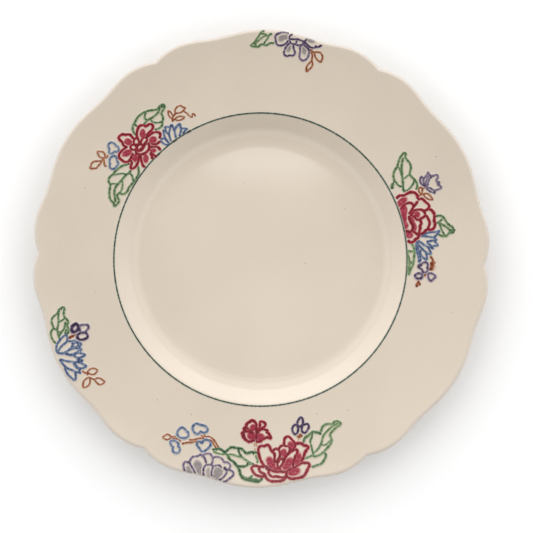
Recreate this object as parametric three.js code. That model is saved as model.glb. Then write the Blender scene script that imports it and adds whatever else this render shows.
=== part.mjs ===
// A scalloped earthenware dinner plate: one fired body, in millimetres, +Z up.
// It stands on its foot ring at z = 0, with the Z axis through the middle of the well.
// The body is a surface of revolution, trimmed to an outline of six broad lobes with
// a pair of small lobes and one sharp notch between each two of them.
import * as THREE from "three";

const DEGREE = Math.PI / 180;

// Outline, seen from above. A sector runs from the middle of a broad lobe to a notch.
const LOBE_RADIUS = 133.5;
const LOBES = 6;
const SECTOR = Math.PI / LOBES;
const HOLLOW_ANGLE = 13.5 * DEGREE;
const HOLLOW_DEPTH = 2.22;
const HOLLOW_SKEW = 1.2; // above 1, the broad lobe is blunter than the hollow beside it
const SMALL_LOBE_ANGLE = 22.5 * DEGREE;
const SMALL_LOBE_DEPTH = 0.25;
const NOTCH_DEPTH = 3.35;

// Section of the upper face, from the axis outwards. Each stretch is an arc, or a straight
// where the slope stays the same; it ends at a radius and at a slope above the horizontal.
const WELL_Z = 6.8;
const WELL = { end: 64, slope: 0, steps: 2 };
const WELL_EDGE = { end: 70, slope: 5 * DEGREE, steps: 2 };
const CAVETTO = { end: 77.4, slope: 40 * DEGREE, steps: 4 };
const WALL = { end: 84.6, slope: 40 * DEGREE, steps: 1 };
const SHOULDER = { end: 86.2, slope: 4.5 * DEGREE, steps: 2 };
const RIM = { end: LOBE_RADIUS, slope: 12 * DEGREE, steps: 7 };

// Wall of the body, measured square to the upper face.
const WALL_THICKNESS = 4.4;
const LIP_THICKNESS = 3.4;
const LIP_RADIUS = LIP_THICKNESS / 2;
const LIP_START = LOBE_RADIUS - LIP_RADIUS * (1 + Math.sin(RIM.slope));

// The shoulder is tighter than the wall is thick, so the under face leaves out these radii.
const UNDER_SKIP_FROM = 82.3;
const UNDER_SKIP_TO = 88.2;

// Foot ring and the recess inside it.
const FOOT_INNER = 73;
const FOOT_OUTER = 76.6;
const FOOT_DRAFT = 1.1; // each side of the ring leans out by this much towards the body
const FOOT_CHAMFER = 0.35;
const FOOT_ROOT_Z = 3.2; // where the outer side of the ring meets the wall's under face
const RECESS_Z = 2.4;

// Only the rim beyond this radius is shaped by the outline.
const TRIM_START = 100;

// Mesh steps: round the axis, along the rim's under face and round the lip.
const SEGMENTS = 120;
const UNDER_STEPS = 7;
const LIP_STEPS = 6;

// Slope of a stretch at radius r. Along an arc, the sine of the slope is linear in the radius.
function slopeOn({ start, end, slope }, r) {
  const way = (r - start.r) / (end - start.r);
  return Math.asin(THREE.MathUtils.lerp(Math.sin(start.slope), Math.sin(slope), way));
}

// Height of a stretch at radius r. An arc's chord rises at the mean of the slopes at its ends.
function heightOn(stretch, r) {
  const { start } = stretch;
  return start.z + (r - start.r) * Math.tan((start.slope + slopeOn(stretch, r)) / 2);
}

// The stretches joined end to end, each with the radius, slope and height that it starts at.
function joined(stretches) {
  let start = { r: 0, slope: 0, z: WELL_Z };
  return stretches.map((shape) => {
    const stretch = { ...shape, start };
    start = { r: shape.end, slope: shape.slope, z: heightOn(stretch, shape.end) };
    return stretch;
  });
}

const UPPER_FACE = joined([WELL, WELL_EDGE, CAVETTO, WALL, SHOULDER, RIM]);

function stretchAt(r) {
  return UPPER_FACE.find(({ end }) => r <= end) ?? UPPER_FACE.at(-1);
}

// Height of the upper face at a distance from the axis.
function upperZ(r) {
  return heightOn(stretchAt(r), r);
}

// Angle of the upper face above the horizontal at a distance from the axis.
function upperSlope(r) {
  return slopeOn(stretchAt(r), r);
}

// Point of the under face that lies straight through the body from the upper face at r.
function underPoint(r) {
  const taper = Math.max(0, (r - SHOULDER.end) / (LIP_START - SHOULDER.end));
  const thickness = THREE.MathUtils.lerp(WALL_THICKNESS, LIP_THICKNESS, taper);
  const slope = upperSlope(r);
  return new THREE.Vector2(
    r + thickness * Math.sin(slope),
    upperZ(r) - thickness * Math.cos(slope),
  );
}

// How far the outline lies inside LOBE_RADIUS in a direction from the axis.
function outlineDepth(angle) {
  const half = LOBES * (angle / (2 * Math.PI));
  const fromLobe = Math.abs(half - 0.5 - Math.round(half - 0.5)) * 2 * SECTOR;
  if (fromLobe <= HOLLOW_ANGLE) {
    const way = (fromLobe / HOLLOW_ANGLE) ** HOLLOW_SKEW;
    return HOLLOW_DEPTH * (1 - Math.cos(Math.PI * way)) / 2;
  }
  if (fromLobe <= SMALL_LOBE_ANGLE) {
    const way = (fromLobe - HOLLOW_ANGLE) / (SMALL_LOBE_ANGLE - HOLLOW_ANGLE);
    const share = (1 + Math.cos(Math.PI * way)) / 2;
    return SMALL_LOBE_DEPTH + (HOLLOW_DEPTH - SMALL_LOBE_DEPTH) * share;
  }
  const way = (fromLobe - SMALL_LOBE_ANGLE) / (SECTOR - SMALL_LOBE_ANGLE);
  return SMALL_LOBE_DEPTH + (NOTCH_DEPTH - SMALL_LOBE_DEPTH) * way ** 2;
}

// Values from one to another in even steps, without the first.
function evenly(from, to, steps) {
  return Array.from({ length: steps }, (_, i) => from + ((to - from) * (i + 1)) / steps);
}

// Upper face from the axis out to the start of the lip.
function upperSection() {
  const radii = UPPER_FACE.flatMap(({ start, end, steps }) => (
    evenly(start.r, Math.min(end, LIP_START), steps)
  ));
  return [0, ...radii].map((r) => new THREE.Vector2(r, upperZ(r)));
}

// Under face from the lip in to the foot of the wall.
function underSection() {
  const rim = [LIP_START, ...evenly(LIP_START, UNDER_SKIP_TO, UNDER_STEPS)];
  return [...rim, UNDER_SKIP_FROM, CAVETTO.end].map(underPoint);
}

// Rounded lip: a half circle from the upper face round to the under face.
function lipSection() {
  const slope = upperSlope(LIP_START);
  const x = LIP_START + LIP_RADIUS * Math.sin(slope);
  const z = upperZ(LIP_START) - LIP_RADIUS * Math.cos(slope);
  const points = [];
  for (let i = 1; i < LIP_STEPS; i += 1) {
    const turn = Math.PI / 2 + slope - (Math.PI * i) / LIP_STEPS;
    points.push(new THREE.Vector2(x + LIP_RADIUS * Math.cos(turn), z + LIP_RADIUS * Math.sin(turn)));
  }
  return points;
}

// Foot ring with a flat, narrow standing face, then the recess back to the axis.
function footSection() {
  const side = FOOT_DRAFT / 4;
  return [
    new THREE.Vector2(FOOT_OUTER + FOOT_DRAFT, FOOT_ROOT_Z),
    new THREE.Vector2(FOOT_OUTER + side, FOOT_CHAMFER),
    new THREE.Vector2(FOOT_OUTER - FOOT_CHAMFER, 0),
    new THREE.Vector2(FOOT_INNER + FOOT_CHAMFER, 0),
    new THREE.Vector2(FOOT_INNER - side, FOOT_CHAMFER),
    new THREE.Vector2(FOOT_INNER - FOOT_DRAFT, RECESS_Z - FOOT_CHAMFER),
    new THREE.Vector2(FOOT_INNER - 2 * FOOT_DRAFT, RECESS_Z),
    new THREE.Vector2(0, RECESS_Z),
  ];
}

// Closed section of the body, from the top of the axis round to its underside.
function bodySection() {
  return [...upperSection(), ...lipSection(), ...underSection(), ...footSection()];
}

// Moves each point of the rim inwards to the outline, along the slope of the upper face.
function trimOutline(geometry) {
  const position = geometry.getAttribute("position");
  for (let i = 0; i < position.count; i += 1) {
    const x = position.getX(i);
    const y = position.getY(i);
    const r = Math.hypot(x, y);
    if (r > TRIM_START) {
      const share = THREE.MathUtils.smoothstep(r, TRIM_START, LIP_START);
      const trimmed = r - share * outlineDepth(Math.atan2(y, x));
      position.setXYZ(
        i,
        (x * trimmed) / r,
        (y * trimmed) / r,
        position.getZ(i) + upperZ(trimmed) - upperZ(r),
      );
    }
  }
  geometry.computeVertexNormals();
  return geometry;
}

function plateBody() {
  const section = bodySection().reverse();
  const turned = new THREE.LatheGeometry(section, SEGMENTS).rotateX(Math.PI / 2);
  const glaze = new THREE.MeshStandardMaterial({
    color: 0xd8ccb9,
    roughness: 0.15,
    metalness: 0,
  });
  const body = new THREE.Mesh(trimOutline(turned), glaze);
  body.name = "plate_body";
  return body;
}

const plate = new THREE.Group();
plate.add(plateBody());

export default plate;
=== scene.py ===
"""A hand-painted, scalloped earthenware dinner plate, lying on a pale floor and seen from above.

The frame's one body is shown as a finer mesh of the same form. The green ring and the five
flower sprays are enamel: thin strokes and washes that lie on the glaze, one piece per spray
and colour. Lengths in this file are millimetres unless a name says otherwise.
"""

import bpy
import math
import numpy as np
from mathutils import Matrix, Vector


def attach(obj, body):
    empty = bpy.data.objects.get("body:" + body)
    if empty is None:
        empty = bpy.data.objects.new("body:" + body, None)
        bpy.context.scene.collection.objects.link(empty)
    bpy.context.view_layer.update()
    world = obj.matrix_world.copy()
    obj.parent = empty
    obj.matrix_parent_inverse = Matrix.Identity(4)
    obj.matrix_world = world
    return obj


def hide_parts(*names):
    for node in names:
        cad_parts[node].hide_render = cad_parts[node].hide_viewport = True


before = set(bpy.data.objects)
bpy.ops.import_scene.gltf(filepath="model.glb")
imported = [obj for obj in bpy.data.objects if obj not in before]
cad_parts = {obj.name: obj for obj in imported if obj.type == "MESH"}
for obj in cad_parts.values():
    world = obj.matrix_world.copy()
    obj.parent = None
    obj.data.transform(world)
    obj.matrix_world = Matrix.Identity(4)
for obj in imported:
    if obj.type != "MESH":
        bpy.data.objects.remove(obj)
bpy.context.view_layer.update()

MM = 0.001

# Green ring at the shoulder, painted a little off the axis.
RING_CENTRE = np.array([-0.5, -0.45])
RING_RADIUS = 85.57
RING_WIDTH = 0.78

# Outline: six broad lobes, with two small lobes and a notch between each two of them.
LOBE_RADIUS = 133.5
SECTOR = math.radians(30)
HOLLOW_ANGLE = math.radians(13.5)
HOLLOW_DEPTH = 2.22
HOLLOW_SKEW = 1.2  # above 1, the broad lobe is blunter than the hollow beside it
SMALL_LOBE_ANGLE = math.radians(22.5)
SMALL_LOBE_DEPTH = 0.25
NOTCH_DEPTH = 3.35
TRIM_START = 100

# Upper face, from the axis outwards: stretches that end at a radius with a slope in degrees.
WELL_Z = 6.8
STRETCHES = {
    "well": (64, 0),
    "well_edge": (70, 5),
    "cavetto": (77.4, 40),
    "wall": (84.6, 40),
    "shoulder": (86.2, 4.5),
    "rim": (LOBE_RADIUS, 12),
}
WALL_THICKNESS = 4.4
LIP_THICKNESS = 3.4

# Foot ring.
FOOT_INNER = 73
FOOT_OUTER = 76.6
FOOT_DRAFT = 1.1
FOOT_ROUND = 0.7
FOOT_ROOT_Z = 3.2
RECESS_Z = 2.4

# Mesh steps: along each stretch, round the lip, along the under face and round the axis.
STRETCH_STEPS = (16, 4, 10, 4, 7, 40)
LIP_STEPS = 14
UNDER_RIM_POINTS = 16
UNDER_WALL_POINTS = 4
RECESS_POINTS = 7
FOOT_STEPS = 4
SEGMENTS = 600

ENDS = np.array([0.0] + [end for end, _ in STRETCHES.values()])
SINES = np.sin(np.radians([0.0] + [slope for _, slope in STRETCHES.values()]))
CAVETTO_END = STRETCHES["cavetto"][0]
WALL_END = STRETCHES["wall"][0]
RIM_START = STRETCHES["shoulder"][0]
WALL_BACK = 82.3  # the under face turns from wall to rim between these two radii
RIM_BACK = RIM_START + 2
RIM_SLOPE_OUTER = math.radians(STRETCHES["rim"][1])
LIP_RADIUS = LIP_THICKNESS / 2
LIP_START = LOBE_RADIUS - LIP_RADIUS * (1 + math.sin(RIM_SLOPE_OUTER))


# ---------------------------------------------------------------- form of the plate
def upper_slope(r):
    """Angle of the upper face above the horizontal at radius r; each stretch is an arc or straight."""
    return np.arcsin(np.interp(r, ENDS, SINES))


def rise(start, sine, r, slope):
    """Height that one arc or straight stretch gains from its start to radius r."""
    return (r - start) * np.tan((np.arcsin(sine) + slope) / 2)


GAINS = rise(ENDS[:-1], SINES[:-1], ENDS[1:], np.arcsin(SINES[1:]))
START_Z = WELL_Z + np.concatenate([[0], np.cumsum(GAINS)])


def upper_z(r):
    """Height of the upper face at radius r, before the lip."""
    k = np.clip(np.searchsorted(ENDS, r, side="right") - 1, 0, len(ENDS) - 2)
    return START_Z[k] + rise(ENDS[k], SINES[k], r, upper_slope(r))


def outline_depth(angle):
    """How far the outline lies inside LOBE_RADIUS."""
    half = np.asarray(angle, float) / (2 * SECTOR) - 0.5
    from_lobe = np.abs(half - np.round(half)) * 2 * SECTOR
    broad = (np.clip(from_lobe / HOLLOW_ANGLE, 0, 1)) ** HOLLOW_SKEW
    hollow = HOLLOW_DEPTH * (1 - np.cos(np.pi * broad)) / 2
    way = (from_lobe - HOLLOW_ANGLE) / (SMALL_LOBE_ANGLE - HOLLOW_ANGLE)
    small = SMALL_LOBE_DEPTH + (HOLLOW_DEPTH - SMALL_LOBE_DEPTH) * (1 + np.cos(np.pi * way)) / 2
    cut = np.clip((from_lobe - SMALL_LOBE_ANGLE) / (SECTOR - SMALL_LOBE_ANGLE), 0, 1)
    notch = SMALL_LOBE_DEPTH + (NOTCH_DEPTH - SMALL_LOBE_DEPTH) * cut**2
    return np.where(from_lobe <= HOLLOW_ANGLE, hollow, np.where(from_lobe <= SMALL_LOBE_ANGLE, small, notch))


LIP_SLOPE = float(upper_slope(LIP_START))
LIP_X = LIP_START + LIP_RADIUS * math.sin(LIP_SLOPE)
LIP_Z = float(upper_z(LIP_START)) - LIP_RADIUS * math.cos(LIP_SLOPE)
PAINTED_LIP = 0.75  # share of the lip's rounding that enamel may reach


def surface_z(x, y):
    """Height of the glaze at a point seen from above, over the rounded lip too."""
    r = np.hypot(x, y)
    full = r + outline_depth(np.arctan2(y, x))
    lip = LIP_Z + np.sqrt(np.maximum(LIP_RADIUS**2 - (full - LIP_X) ** 2, 0))
    return np.where(full <= LIP_START, upper_z(r), lip + upper_z(r) - upper_z(full))


def keep_on_rim(x, y):
    """Points beyond the edge are brought back onto the lip."""
    r = np.hypot(x, y)
    limit = LIP_X + PAINTED_LIP * LIP_RADIUS - outline_depth(np.arctan2(y, x))
    scale = np.minimum(1, limit / np.maximum(r, 1))
    return x * scale, y * scale


def keep_off_ring(x, y):
    """Points inside the green ring are moved out to it, so a wash ends along the ring."""
    scale = np.maximum(1, RING_RADIUS / np.maximum(np.hypot(x, y), 1))
    return x * scale, y * scale


def section():
    """(r, z) of the closed section, from the top of the axis round to its underside."""
    radii = np.concatenate([[0]] + [np.linspace(a, b, steps + 1)[1:]
                                    for a, b, steps in zip(ENDS, ENDS[1:], STRETCH_STEPS)])
    radii = np.concatenate([radii[radii < LIP_START], [LIP_START]])
    upper = np.stack([radii, upper_z(radii)], 1)
    turn = math.pi / 2 + LIP_SLOPE - math.pi * np.arange(1, LIP_STEPS) / LIP_STEPS
    lip = np.stack([LIP_X + LIP_RADIUS * np.cos(turn), LIP_Z + LIP_RADIUS * np.sin(turn)], 1)
    back = np.concatenate([np.linspace(LIP_START, RIM_BACK, UNDER_RIM_POINTS),
                           np.linspace(WALL_BACK, CAVETTO_END, UNDER_WALL_POINTS)])
    taper = np.clip((back - RIM_START) / (LIP_START - RIM_START), 0, 1)
    thick = WALL_THICKNESS + (LIP_THICKNESS - WALL_THICKNESS) * taper
    slope = upper_slope(back)
    under = np.stack([back + thick * np.sin(slope), upper_z(back) - thick * np.cos(slope)], 1)
    recess = np.stack([np.linspace(FOOT_INNER - 6, 0, RECESS_POINTS), np.full(RECESS_POINTS, RECESS_Z)], 1)
    return np.concatenate([upper, lip, under, rounded_foot(), recess])


def quarter_round(x, start):
    """Quarter circle at the bottom of the foot ring about radius x, clockwise from an angle in degrees."""
    turns = [math.radians(start - 90 * i / FOOT_STEPS) for i in range(FOOT_STEPS + 1)]
    return [(x + FOOT_ROUND * math.cos(a), FOOT_ROUND + FOOT_ROUND * math.sin(a)) for a in turns]


def rounded_foot():
    """Foot ring from its outer root to the recess, with rounded edges and soft roots."""
    side = FOOT_DRAFT / 4
    outer_root = [(FOOT_OUTER + 1.75 * FOOT_DRAFT, FOOT_ROOT_Z + 1.1),
                  (FOOT_OUTER + FOOT_DRAFT, FOOT_ROOT_Z - 0.2)]
    outer = quarter_round(FOOT_OUTER + side - FOOT_ROUND, 0)
    inner = quarter_round(FOOT_INNER - side + FOOT_ROUND, -90)
    inner_root = [(FOOT_INNER - FOOT_DRAFT, RECESS_Z - 0.7), (FOOT_INNER - 1.8 * FOOT_DRAFT, RECESS_Z - 0.15),
                  (FOOT_INNER - 3.4 * FOOT_DRAFT, RECESS_Z)]
    return np.array(outer_root + outer + inner + inner_root)


def smoothstep(x, low, high):
    t = np.clip((x - low) / (high - low), 0, 1)
    return t * t * (3 - 2 * t)


# ---------------------------------------------------------------- meshes
def new_piece(name, verts_mm, faces, material, attributes):
    """A smooth-shaded piece on the plate's body, with its attributes given for each point."""
    mesh = bpy.data.meshes.new(name)
    mesh.from_pydata((np.asarray(verts_mm, float) * MM).tolist(), [], faces)
    mesh.validate()
    for key, values in attributes.items():
        layer = mesh.attributes.new(key, "FLOAT", "POINT")
        layer.data.foreach_set("value", np.asarray(values, np.float32))
    mesh.polygons.foreach_set("use_smooth", [True] * len(mesh.polygons))
    mesh.materials.append(material)
    piece = bpy.data.objects.new(name, mesh)
    bpy.context.scene.collection.objects.link(piece)
    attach(piece, "root")
    return piece


BARE_HEIGHT = 0.12  # the standing face is bare clay up to here
# From here to there the lip takes a greyer colour: painted light and shade on the rounded lip.
LIP_SHADING_FROM = LIP_START - 0.8
LIP_SHADING_TO = LIP_START + 1.4


def plate_mesh():
    """The turned section, trimmed to the outline, with where it is bare, on the rim, or at the edge, where
    light and shade on the rounded lip are painted in.
    """
    profile = section()[1:-1]
    angles = 2 * math.pi * np.arange(SEGMENTS) / SEGMENTS
    r = profile[:, 0][None, :]
    z = profile[:, 1][None, :]
    share = smoothstep(r, TRIM_START, LIP_START)
    trimmed = r - share * outline_depth(angles)[:, None]
    height = np.where(r > TRIM_START, z + upper_z(trimmed) - upper_z(r), z)
    x = trimmed * np.cos(angles)[:, None]
    y = trimmed * np.sin(angles)[:, None]
    rings = profile.shape[0]
    verts = np.stack([x, y, height], -1).reshape(-1, 3).tolist()
    top = len(verts)
    bottom = top + 1
    verts += [[0, 0, WELL_Z], [0, 0, RECESS_Z]]
    faces = []
    for i in range(SEGMENTS):
        a = i * rings
        b = (i + 1) % SEGMENTS * rings
        faces.append((top, a, b))
        faces += [(a + k, a + k + 1, b + k + 1, b + k) for k in range(rings - 1)]
        faces.append((bottom, b + rings - 1, a + rings - 1))
    layers = {
        "bare": (profile[:, 1] < BARE_HEIGHT).astype(float),
        # mask for the painted light and shade on the rounded lip
        "edge": smoothstep(profile[:, 0], LIP_SHADING_FROM, LIP_SHADING_TO),
        "rim": smoothstep(profile[:, 0], WALL_END, RIM_START),
    }
    return verts, faces, {key: [*np.tile(values, SEGMENTS), 0, 0] for key, values in layers.items()}


# ---------------------------------------------------------------- enamel strokes
def noise1(t, seed):
    """Smooth repeatable noise between -1 and 1."""
    return (np.sin(1.3 * t + 5.1 * seed) + np.sin(2.9 * t + 1.7 * seed) + np.sin(5.3 * t + 3.9 * seed)) / 3


POINT_STEP = 0.3  # between the points of a finished stroke
FINE_STEP = 0.15  # between the points that its length is measured on


def curve_through(points, closed):
    """Evenly spaced points of a smooth curve through the given ones."""
    p = np.asarray(points, float)
    if closed:
        p = np.concatenate([p[-1:], p, p[:2]])
    else:
        p = np.concatenate([2 * p[:1] - p[1:2], p, 2 * p[-1:] - p[-2:-1]])
    out = []
    for a, b, c, d in zip(p[:-3], p[1:-2], p[2:-1], p[3:]):
        t = np.linspace(0, 1, max(3, int(np.hypot(*(c - b)) / FINE_STEP)), endpoint=False)[:, None]
        out.append(0.5 * (2 * b + (c - a) * t + (2 * a - 5 * b + 4 * c - d) * t**2
                          + (3 * b - a - 3 * c + d) * t**3))
    dense = np.concatenate(out + [p[-2:-1]])
    length = np.concatenate([[0], np.cumsum(np.hypot(*np.diff(dense, axis=0).T))])
    count = max(6, int(length[-1] / POINT_STEP))
    s = np.linspace(0, length[-1], count + 1)
    return np.stack([np.interp(s, length, dense[:, 0]), np.interp(s, length, dense[:, 1])], 1), s


# Section of a stroke, from side to side: place in half widths, height, and strength of the colour.
ACROSS = np.array([-1.9, -1.3, -0.85, -0.45, 0, 0.45, 0.85, 1.3, 1.9])
CREST = np.array([0.002, 0.008, 0.022, 0.042, 0.05, 0.042, 0.022, 0.008, 0.002])
BODY = np.array([0, 0.16, 0.6, 0.96, 1, 0.96, 0.6, 0.16, 0])
SUNK = 0.12  # how far enamel reaches down into the glaze
END_DARKER = 0.3  # paint gathers at the ends of a stroke
END_LENGTH = 0.8

# A wash has this many points round it, and this many rings of them.
SPOKES = 48
RINGS = 9
WASH_CREST = 0.02
WASH_FADE = 0.55  # a wash is at full strength out to this share of its size


class Layer:
    """All the strokes of one colour in one spray, as one mesh."""

    def __init__(self):
        self.verts, self.faces, self.tone = [], [], []

    def add(self, verts, faces, tone):
        base = len(self.verts)
        self.verts += verts
        self.faces += [tuple(base + i for i in face) for face in faces]
        self.tone += tone

    def stroke(self, points, width, strength, closed, seed, lift):
        """A closed ribbon along a curve, uneven in width and strength, with rounded ends."""
        line, s = curve_through(points, closed)
        if closed:
            line, s = line[:-1], s[:-1]
            ahead = np.roll(line, -1, 0) - np.roll(line, 1, 0)
        else:
            ahead = np.gradient(line, axis=0)
        ahead /= np.maximum(np.hypot(ahead[:, 0], ahead[:, 1]), 1e-6)[:, None]
        side = np.stack([-ahead[:, 1], ahead[:, 0]], 1)
        half = width / 2 * (1 + 0.14 * noise1(s * 0.9, seed))
        tone = strength * (1 + 0.26 * noise1(s * 0.5, seed + 7) + 0.14 * noise1(s * 2.3, seed + 2))
        if not closed:
            end = np.minimum(s, s[-1] - s)
            cap = width / 2
            half = half * np.sqrt(np.clip(1 - (1 - np.clip(end / cap, 0, 1)) ** 2, 0.02, 1))
            tone = tone * (1 + END_DARKER * np.exp(-end / END_LENGTH))
        verts, tones = [], []
        for i in range(len(line)):
            offs = ACROSS * half[i]
            x, y = keep_on_rim(line[i, 0] + side[i, 0] * offs, line[i, 1] + side[i, 1] * offs)
            z = surface_z(x, y)
            verts += np.stack([x, y, z + CREST + lift], 1).tolist()
            verts += [[x[0], y[0], z[0] - SUNK], [x[-1], y[-1], z[-1] - SUNK]]
            tones += (BODY * tone[i]).tolist() + [0, 0]
        n = len(line)
        m = len(ACROSS) + 2
        loop = [*range(len(ACROSS)), m - 1, m - 2]
        faces = []
        for i in range(n if closed else n - 1):
            a = i * m
            b = (i + 1) % n * m
            faces += [(a + p, b + p, b + q, a + q) for p, q in zip(loop, loop[1:] + loop[:1])]
        if not closed:
            faces.append(tuple(loop))
            faces.append(tuple((n - 1) * m + k for k in reversed(loop)))
        self.add(verts, faces, tones)

    def wash(self, centre, radii, turn, strength, seed, lift):
        """A translucent patch of colour laid with a few strokes of a wide brush along its long side."""
        a = 2 * math.pi * np.arange(SPOKES) / SPOKES
        wobble = 1 + 0.10 * noise1(1.6 * np.sin(a + seed) + 2 * np.cos(a), seed)
        c = math.cos(math.radians(turn))
        s = math.sin(math.radians(turn))
        verts, tones = [], []

        def put(fall, z_up, tone):
            u = radii[0] * wobble * fall * np.cos(a)
            v = radii[1] * wobble * fall * np.sin(a)
            x = centre[0] + c * u - s * v
            y = centre[1] + s * u + c * v
            if math.hypot(*centre) > RING_RADIUS:
                x, y = keep_on_rim(*keep_off_ring(x, y))
            along, over = (v, u) if radii[1] > radii[0] else (u, v)
            patch = 1 + 0.16 * noise1(2.6 * over + 0.5 * along, seed) + 0.1 * noise1(0.9 * along, seed + 3)
            verts.extend(np.stack([x, y, surface_z(x, y) + z_up], 1).tolist())
            tones.extend((tone * patch).tolist())

        for k in range(RINGS):
            fall = (k + 1) / RINGS
            put(fall, lift + WASH_CREST * (1 - fall**3), strength * (1 - smoothstep(fall, WASH_FADE, 1.0)))
        put(1.0, -SUNK, 0)
        x, y = keep_on_rim(*centre)
        z = float(surface_z(x, y))
        top = len(verts)
        verts += [[x, y, z + lift + WASH_CREST], [x, y, z - SUNK]]
        tones += [strength, 0]
        faces = []
        for i in range(SPOKES):
            j = (i + 1) % SPOKES
            faces.append((top, i, j))
            faces.append((top + 1, RINGS * SPOKES + j, RINGS * SPOKES + i))
            faces += [(k * SPOKES + i, (k + 1) * SPOKES + i, (k + 1) * SPOKES + j, k * SPOKES + j)
                      for k in range(RINGS)]
        self.add(verts, faces, tones)


# Height above the glaze, so that crossing colours lie on each other.
LIFT = {"grey": 0.0, "rust": 0.006, "green": 0.012, "blue": 0.018, "violet": 0.024,
        "crimson": 0.03, "crimson_wash": 0.042}
# Usual width, share of full strength, and how far a wash spreads past its size.
WIDTH = {"green": 1.25, "crimson": 1.42, "blue": 1.25, "violet": 1.15, "rust": 0.9}
TONE = {"green": 0.8, "crimson": 1.08, "blue": 0.88, "violet": 0.86, "rust": 0.88}
WASH_SPREAD = {"crimson_wash": 1.15, "grey": 1.4}


class Spray:
    """Strokes and washes drawn in millimetres from an anchor point on the rim."""

    def __init__(self, name, x, y):
        self.name = name
        self.anchor = np.array([x, y], float)
        self.layers = {}
        self.count = 0

    def draw(self, colour, points, width=1.0, strength=0.85, closed=False):
        self.count += 1
        layer = self.layers.setdefault(colour, Layer())
        layer.stroke(np.array(points) + self.anchor, WIDTH[colour] * width, strength * TONE[colour], closed,
                     self.count, LIFT[colour])

    def loop(self, colour, points, width=1.0, strength=0.85):
        self.draw(colour, points, width, strength, closed=True)

    def wash(self, colour, centre, radii, turn=0, strength=0.7):
        self.count += 1
        radii = np.array(radii) * WASH_SPREAD[colour]
        layer = self.layers.setdefault(colour, Layer())
        layer.wash(np.array(centre) + self.anchor, radii, turn, strength, self.count, LIFT[colour])

    def finish(self, enamels):
        for colour, layer in self.layers.items():
            new_piece(f"{self.name}_{colour}", layer.verts, layer.faces, enamels[colour],
                      {"tone": layer.tone})


# ---------------------------------------------------------------- painted sprays
def top_spray():
    s = Spray("top_spray", 10.15, 119.9)
    g, v, r = "green", "violet", "rust"
    s.draw(g, [(-12.2, 12.8), (-13.8, 12), (-14.8, 10.9), (-15.6, 9.4), (-16.8, 7.6), (-17.6, 6.1),
        (-19.1, 4.8), (-20, 4.1), (-19, 3.5), (-17.2, 3.3), (-15.6, 3.4), (-14.5, 4.5), (-13.5, 4.8),
        (-12.2, 4.4), (-10.8, 4.4), (-9.5, 5.3), (-8, 5.7), (-6.4, 5.6)])
    s.draw(g, [(-15, 10.9), (-13.4, 10.9), (-12.2, 10.6), (-10.8, 9.8), (-9.8, 10), (-8.8, 10.7),
        (-7.7, 10.9)])
    s.draw(g, [(-17.4, 4.6), (-16.9, 5.6), (-15.6, 6.9), (-14, 8.3), (-12.2, 9.6), (-11, 9.9)], 0.9, 0.7)
    s.draw(g, [(-12.6, 5), (-11.4, 6.9), (-10.4, 8.3), (-9.8, 9.6)], 0.9, 0.7)
    s.draw(g, [(-18.2, 5.2), (-17.2, 4.2), (-16.8, 3.5)], 0.9)
    s.draw(v, [(2, 11.4), (0.6, 12), (-1.2, 12.2), (-3.2, 11.7), (-5, 10.8), (-6, 9.5), (-5.8, 8.2),
        (-5.6, 6.9), (-5.2, 5.5), (-4.2, 4.6), (-2.7, 4.4), (-1, 4.8), (0.4, 5.8), (1.3, 6.9),
        (1.6, 7.8)], 1.05)
    s.draw(v, [(4.3, 11.1), (3, 10.6), (2.3, 9.6), (2.3, 8.4), (2.7, 7), (3, 6.2), (3.9, 5.6), (5.6, 5.3),
        (7.2, 4.9), (8.6, 5.1), (10, 5.2), (11.2, 4.8), (12.5, 3.6), (13.6, 2.6), (14.2, 1.6)])
    s.draw(v, [(2.4, 8.3), (4.6, 8.2), (6.6, 8.3), (8.6, 7.8), (10.4, 7.1), (12, 6), (13.4, 4.9),
        (14.6, 3.9), (16.4, 3.6), (18, 4), (19.7, 4.4), (21.4, 5.4)], 1.0, 0.95)
    s.draw(v, [(17.3, 5.1), (18, 3.9)], 1.1, 1.0)
    s.draw(v, [(6.8, 8.2), (6.4, 6.8), (6, 5.4)], 0.9, 0.75)
    s.draw(v, [(10.4, 7.1), (11.6, 7.5), (12.3, 8.7)], 1.0, 0.9)
    s.draw(v, [(9.6, 6.5), (11.4, 5.3), (12.8, 4.2), (13.9, 2.8)], 0.9, 0.8)
    s.draw(v, [(2.9, 6.2), (1.5, 5), (0.4, 3.4), (-0.5, 1.4), (-0.6, -0.2), (0.2, -1.2), (1.4, -1.6),
        (2.6, -1.1), (4, -1.2), (5.1, -0.8), (5.8, 0.4), (5.4, 1.8), (4.8, 3.4), (4.6, 4.9)], 1.05)
    s.draw(v, [(9.8, 5.2), (8.5, 3.9), (8.8, 1.9), (8.5, -0.1), (8.4, -1.8), (9.3, -3.3), (10.8, -3.8),
        (12.3, -3.1), (13.4, -1.5), (13.9, 0.3), (13.7, 1.9)], 1.1, 0.7)
    s.wash("grey", (-1, 9.1), (3, 1.3), 6, 0.9)
    s.wash("grey", (-2.6, 7.6), (1.4, 0.9), 0, 0.8)
    s.wash("grey", (2, 3.2), (1.3, 2.3), -12, 0.9)
    s.wash("grey", (10.6, 2.6), (1.4, 2.7), 25, 0.9)
    s.wash("grey", (14.2, 7.8), (2.9, 1), -14, 0.95)
    s.draw(r, [(14.1, 2.8), (15.3, 2), (16.8, 0.8)], 1.3)
    s.draw(r, [(14.3, 1.4), (15.5, 0.4), (15.9, -1.3), (15.7, -3.1), (15.6, -4.2)], 1.2)
    s.loop(r, [(17, 0.9), (18.5, 1.2), (20.2, 1.1), (21.3, 0), (21.9, -1.6), (21.4, -3.3), (21.2, -4.3),
        (19.6, -3.8), (18.2, -2.4), (17.4, -0.8)], 1.2)
    s.loop(r, [(15.6, -4.2), (16.2, -5.6), (15.7, -7.4), (14.5, -8.6), (12.9, -10.1), (12.7, -8.4),
        (13, -6.8), (14.2, -5.3)], 1.2)
    return s


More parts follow.
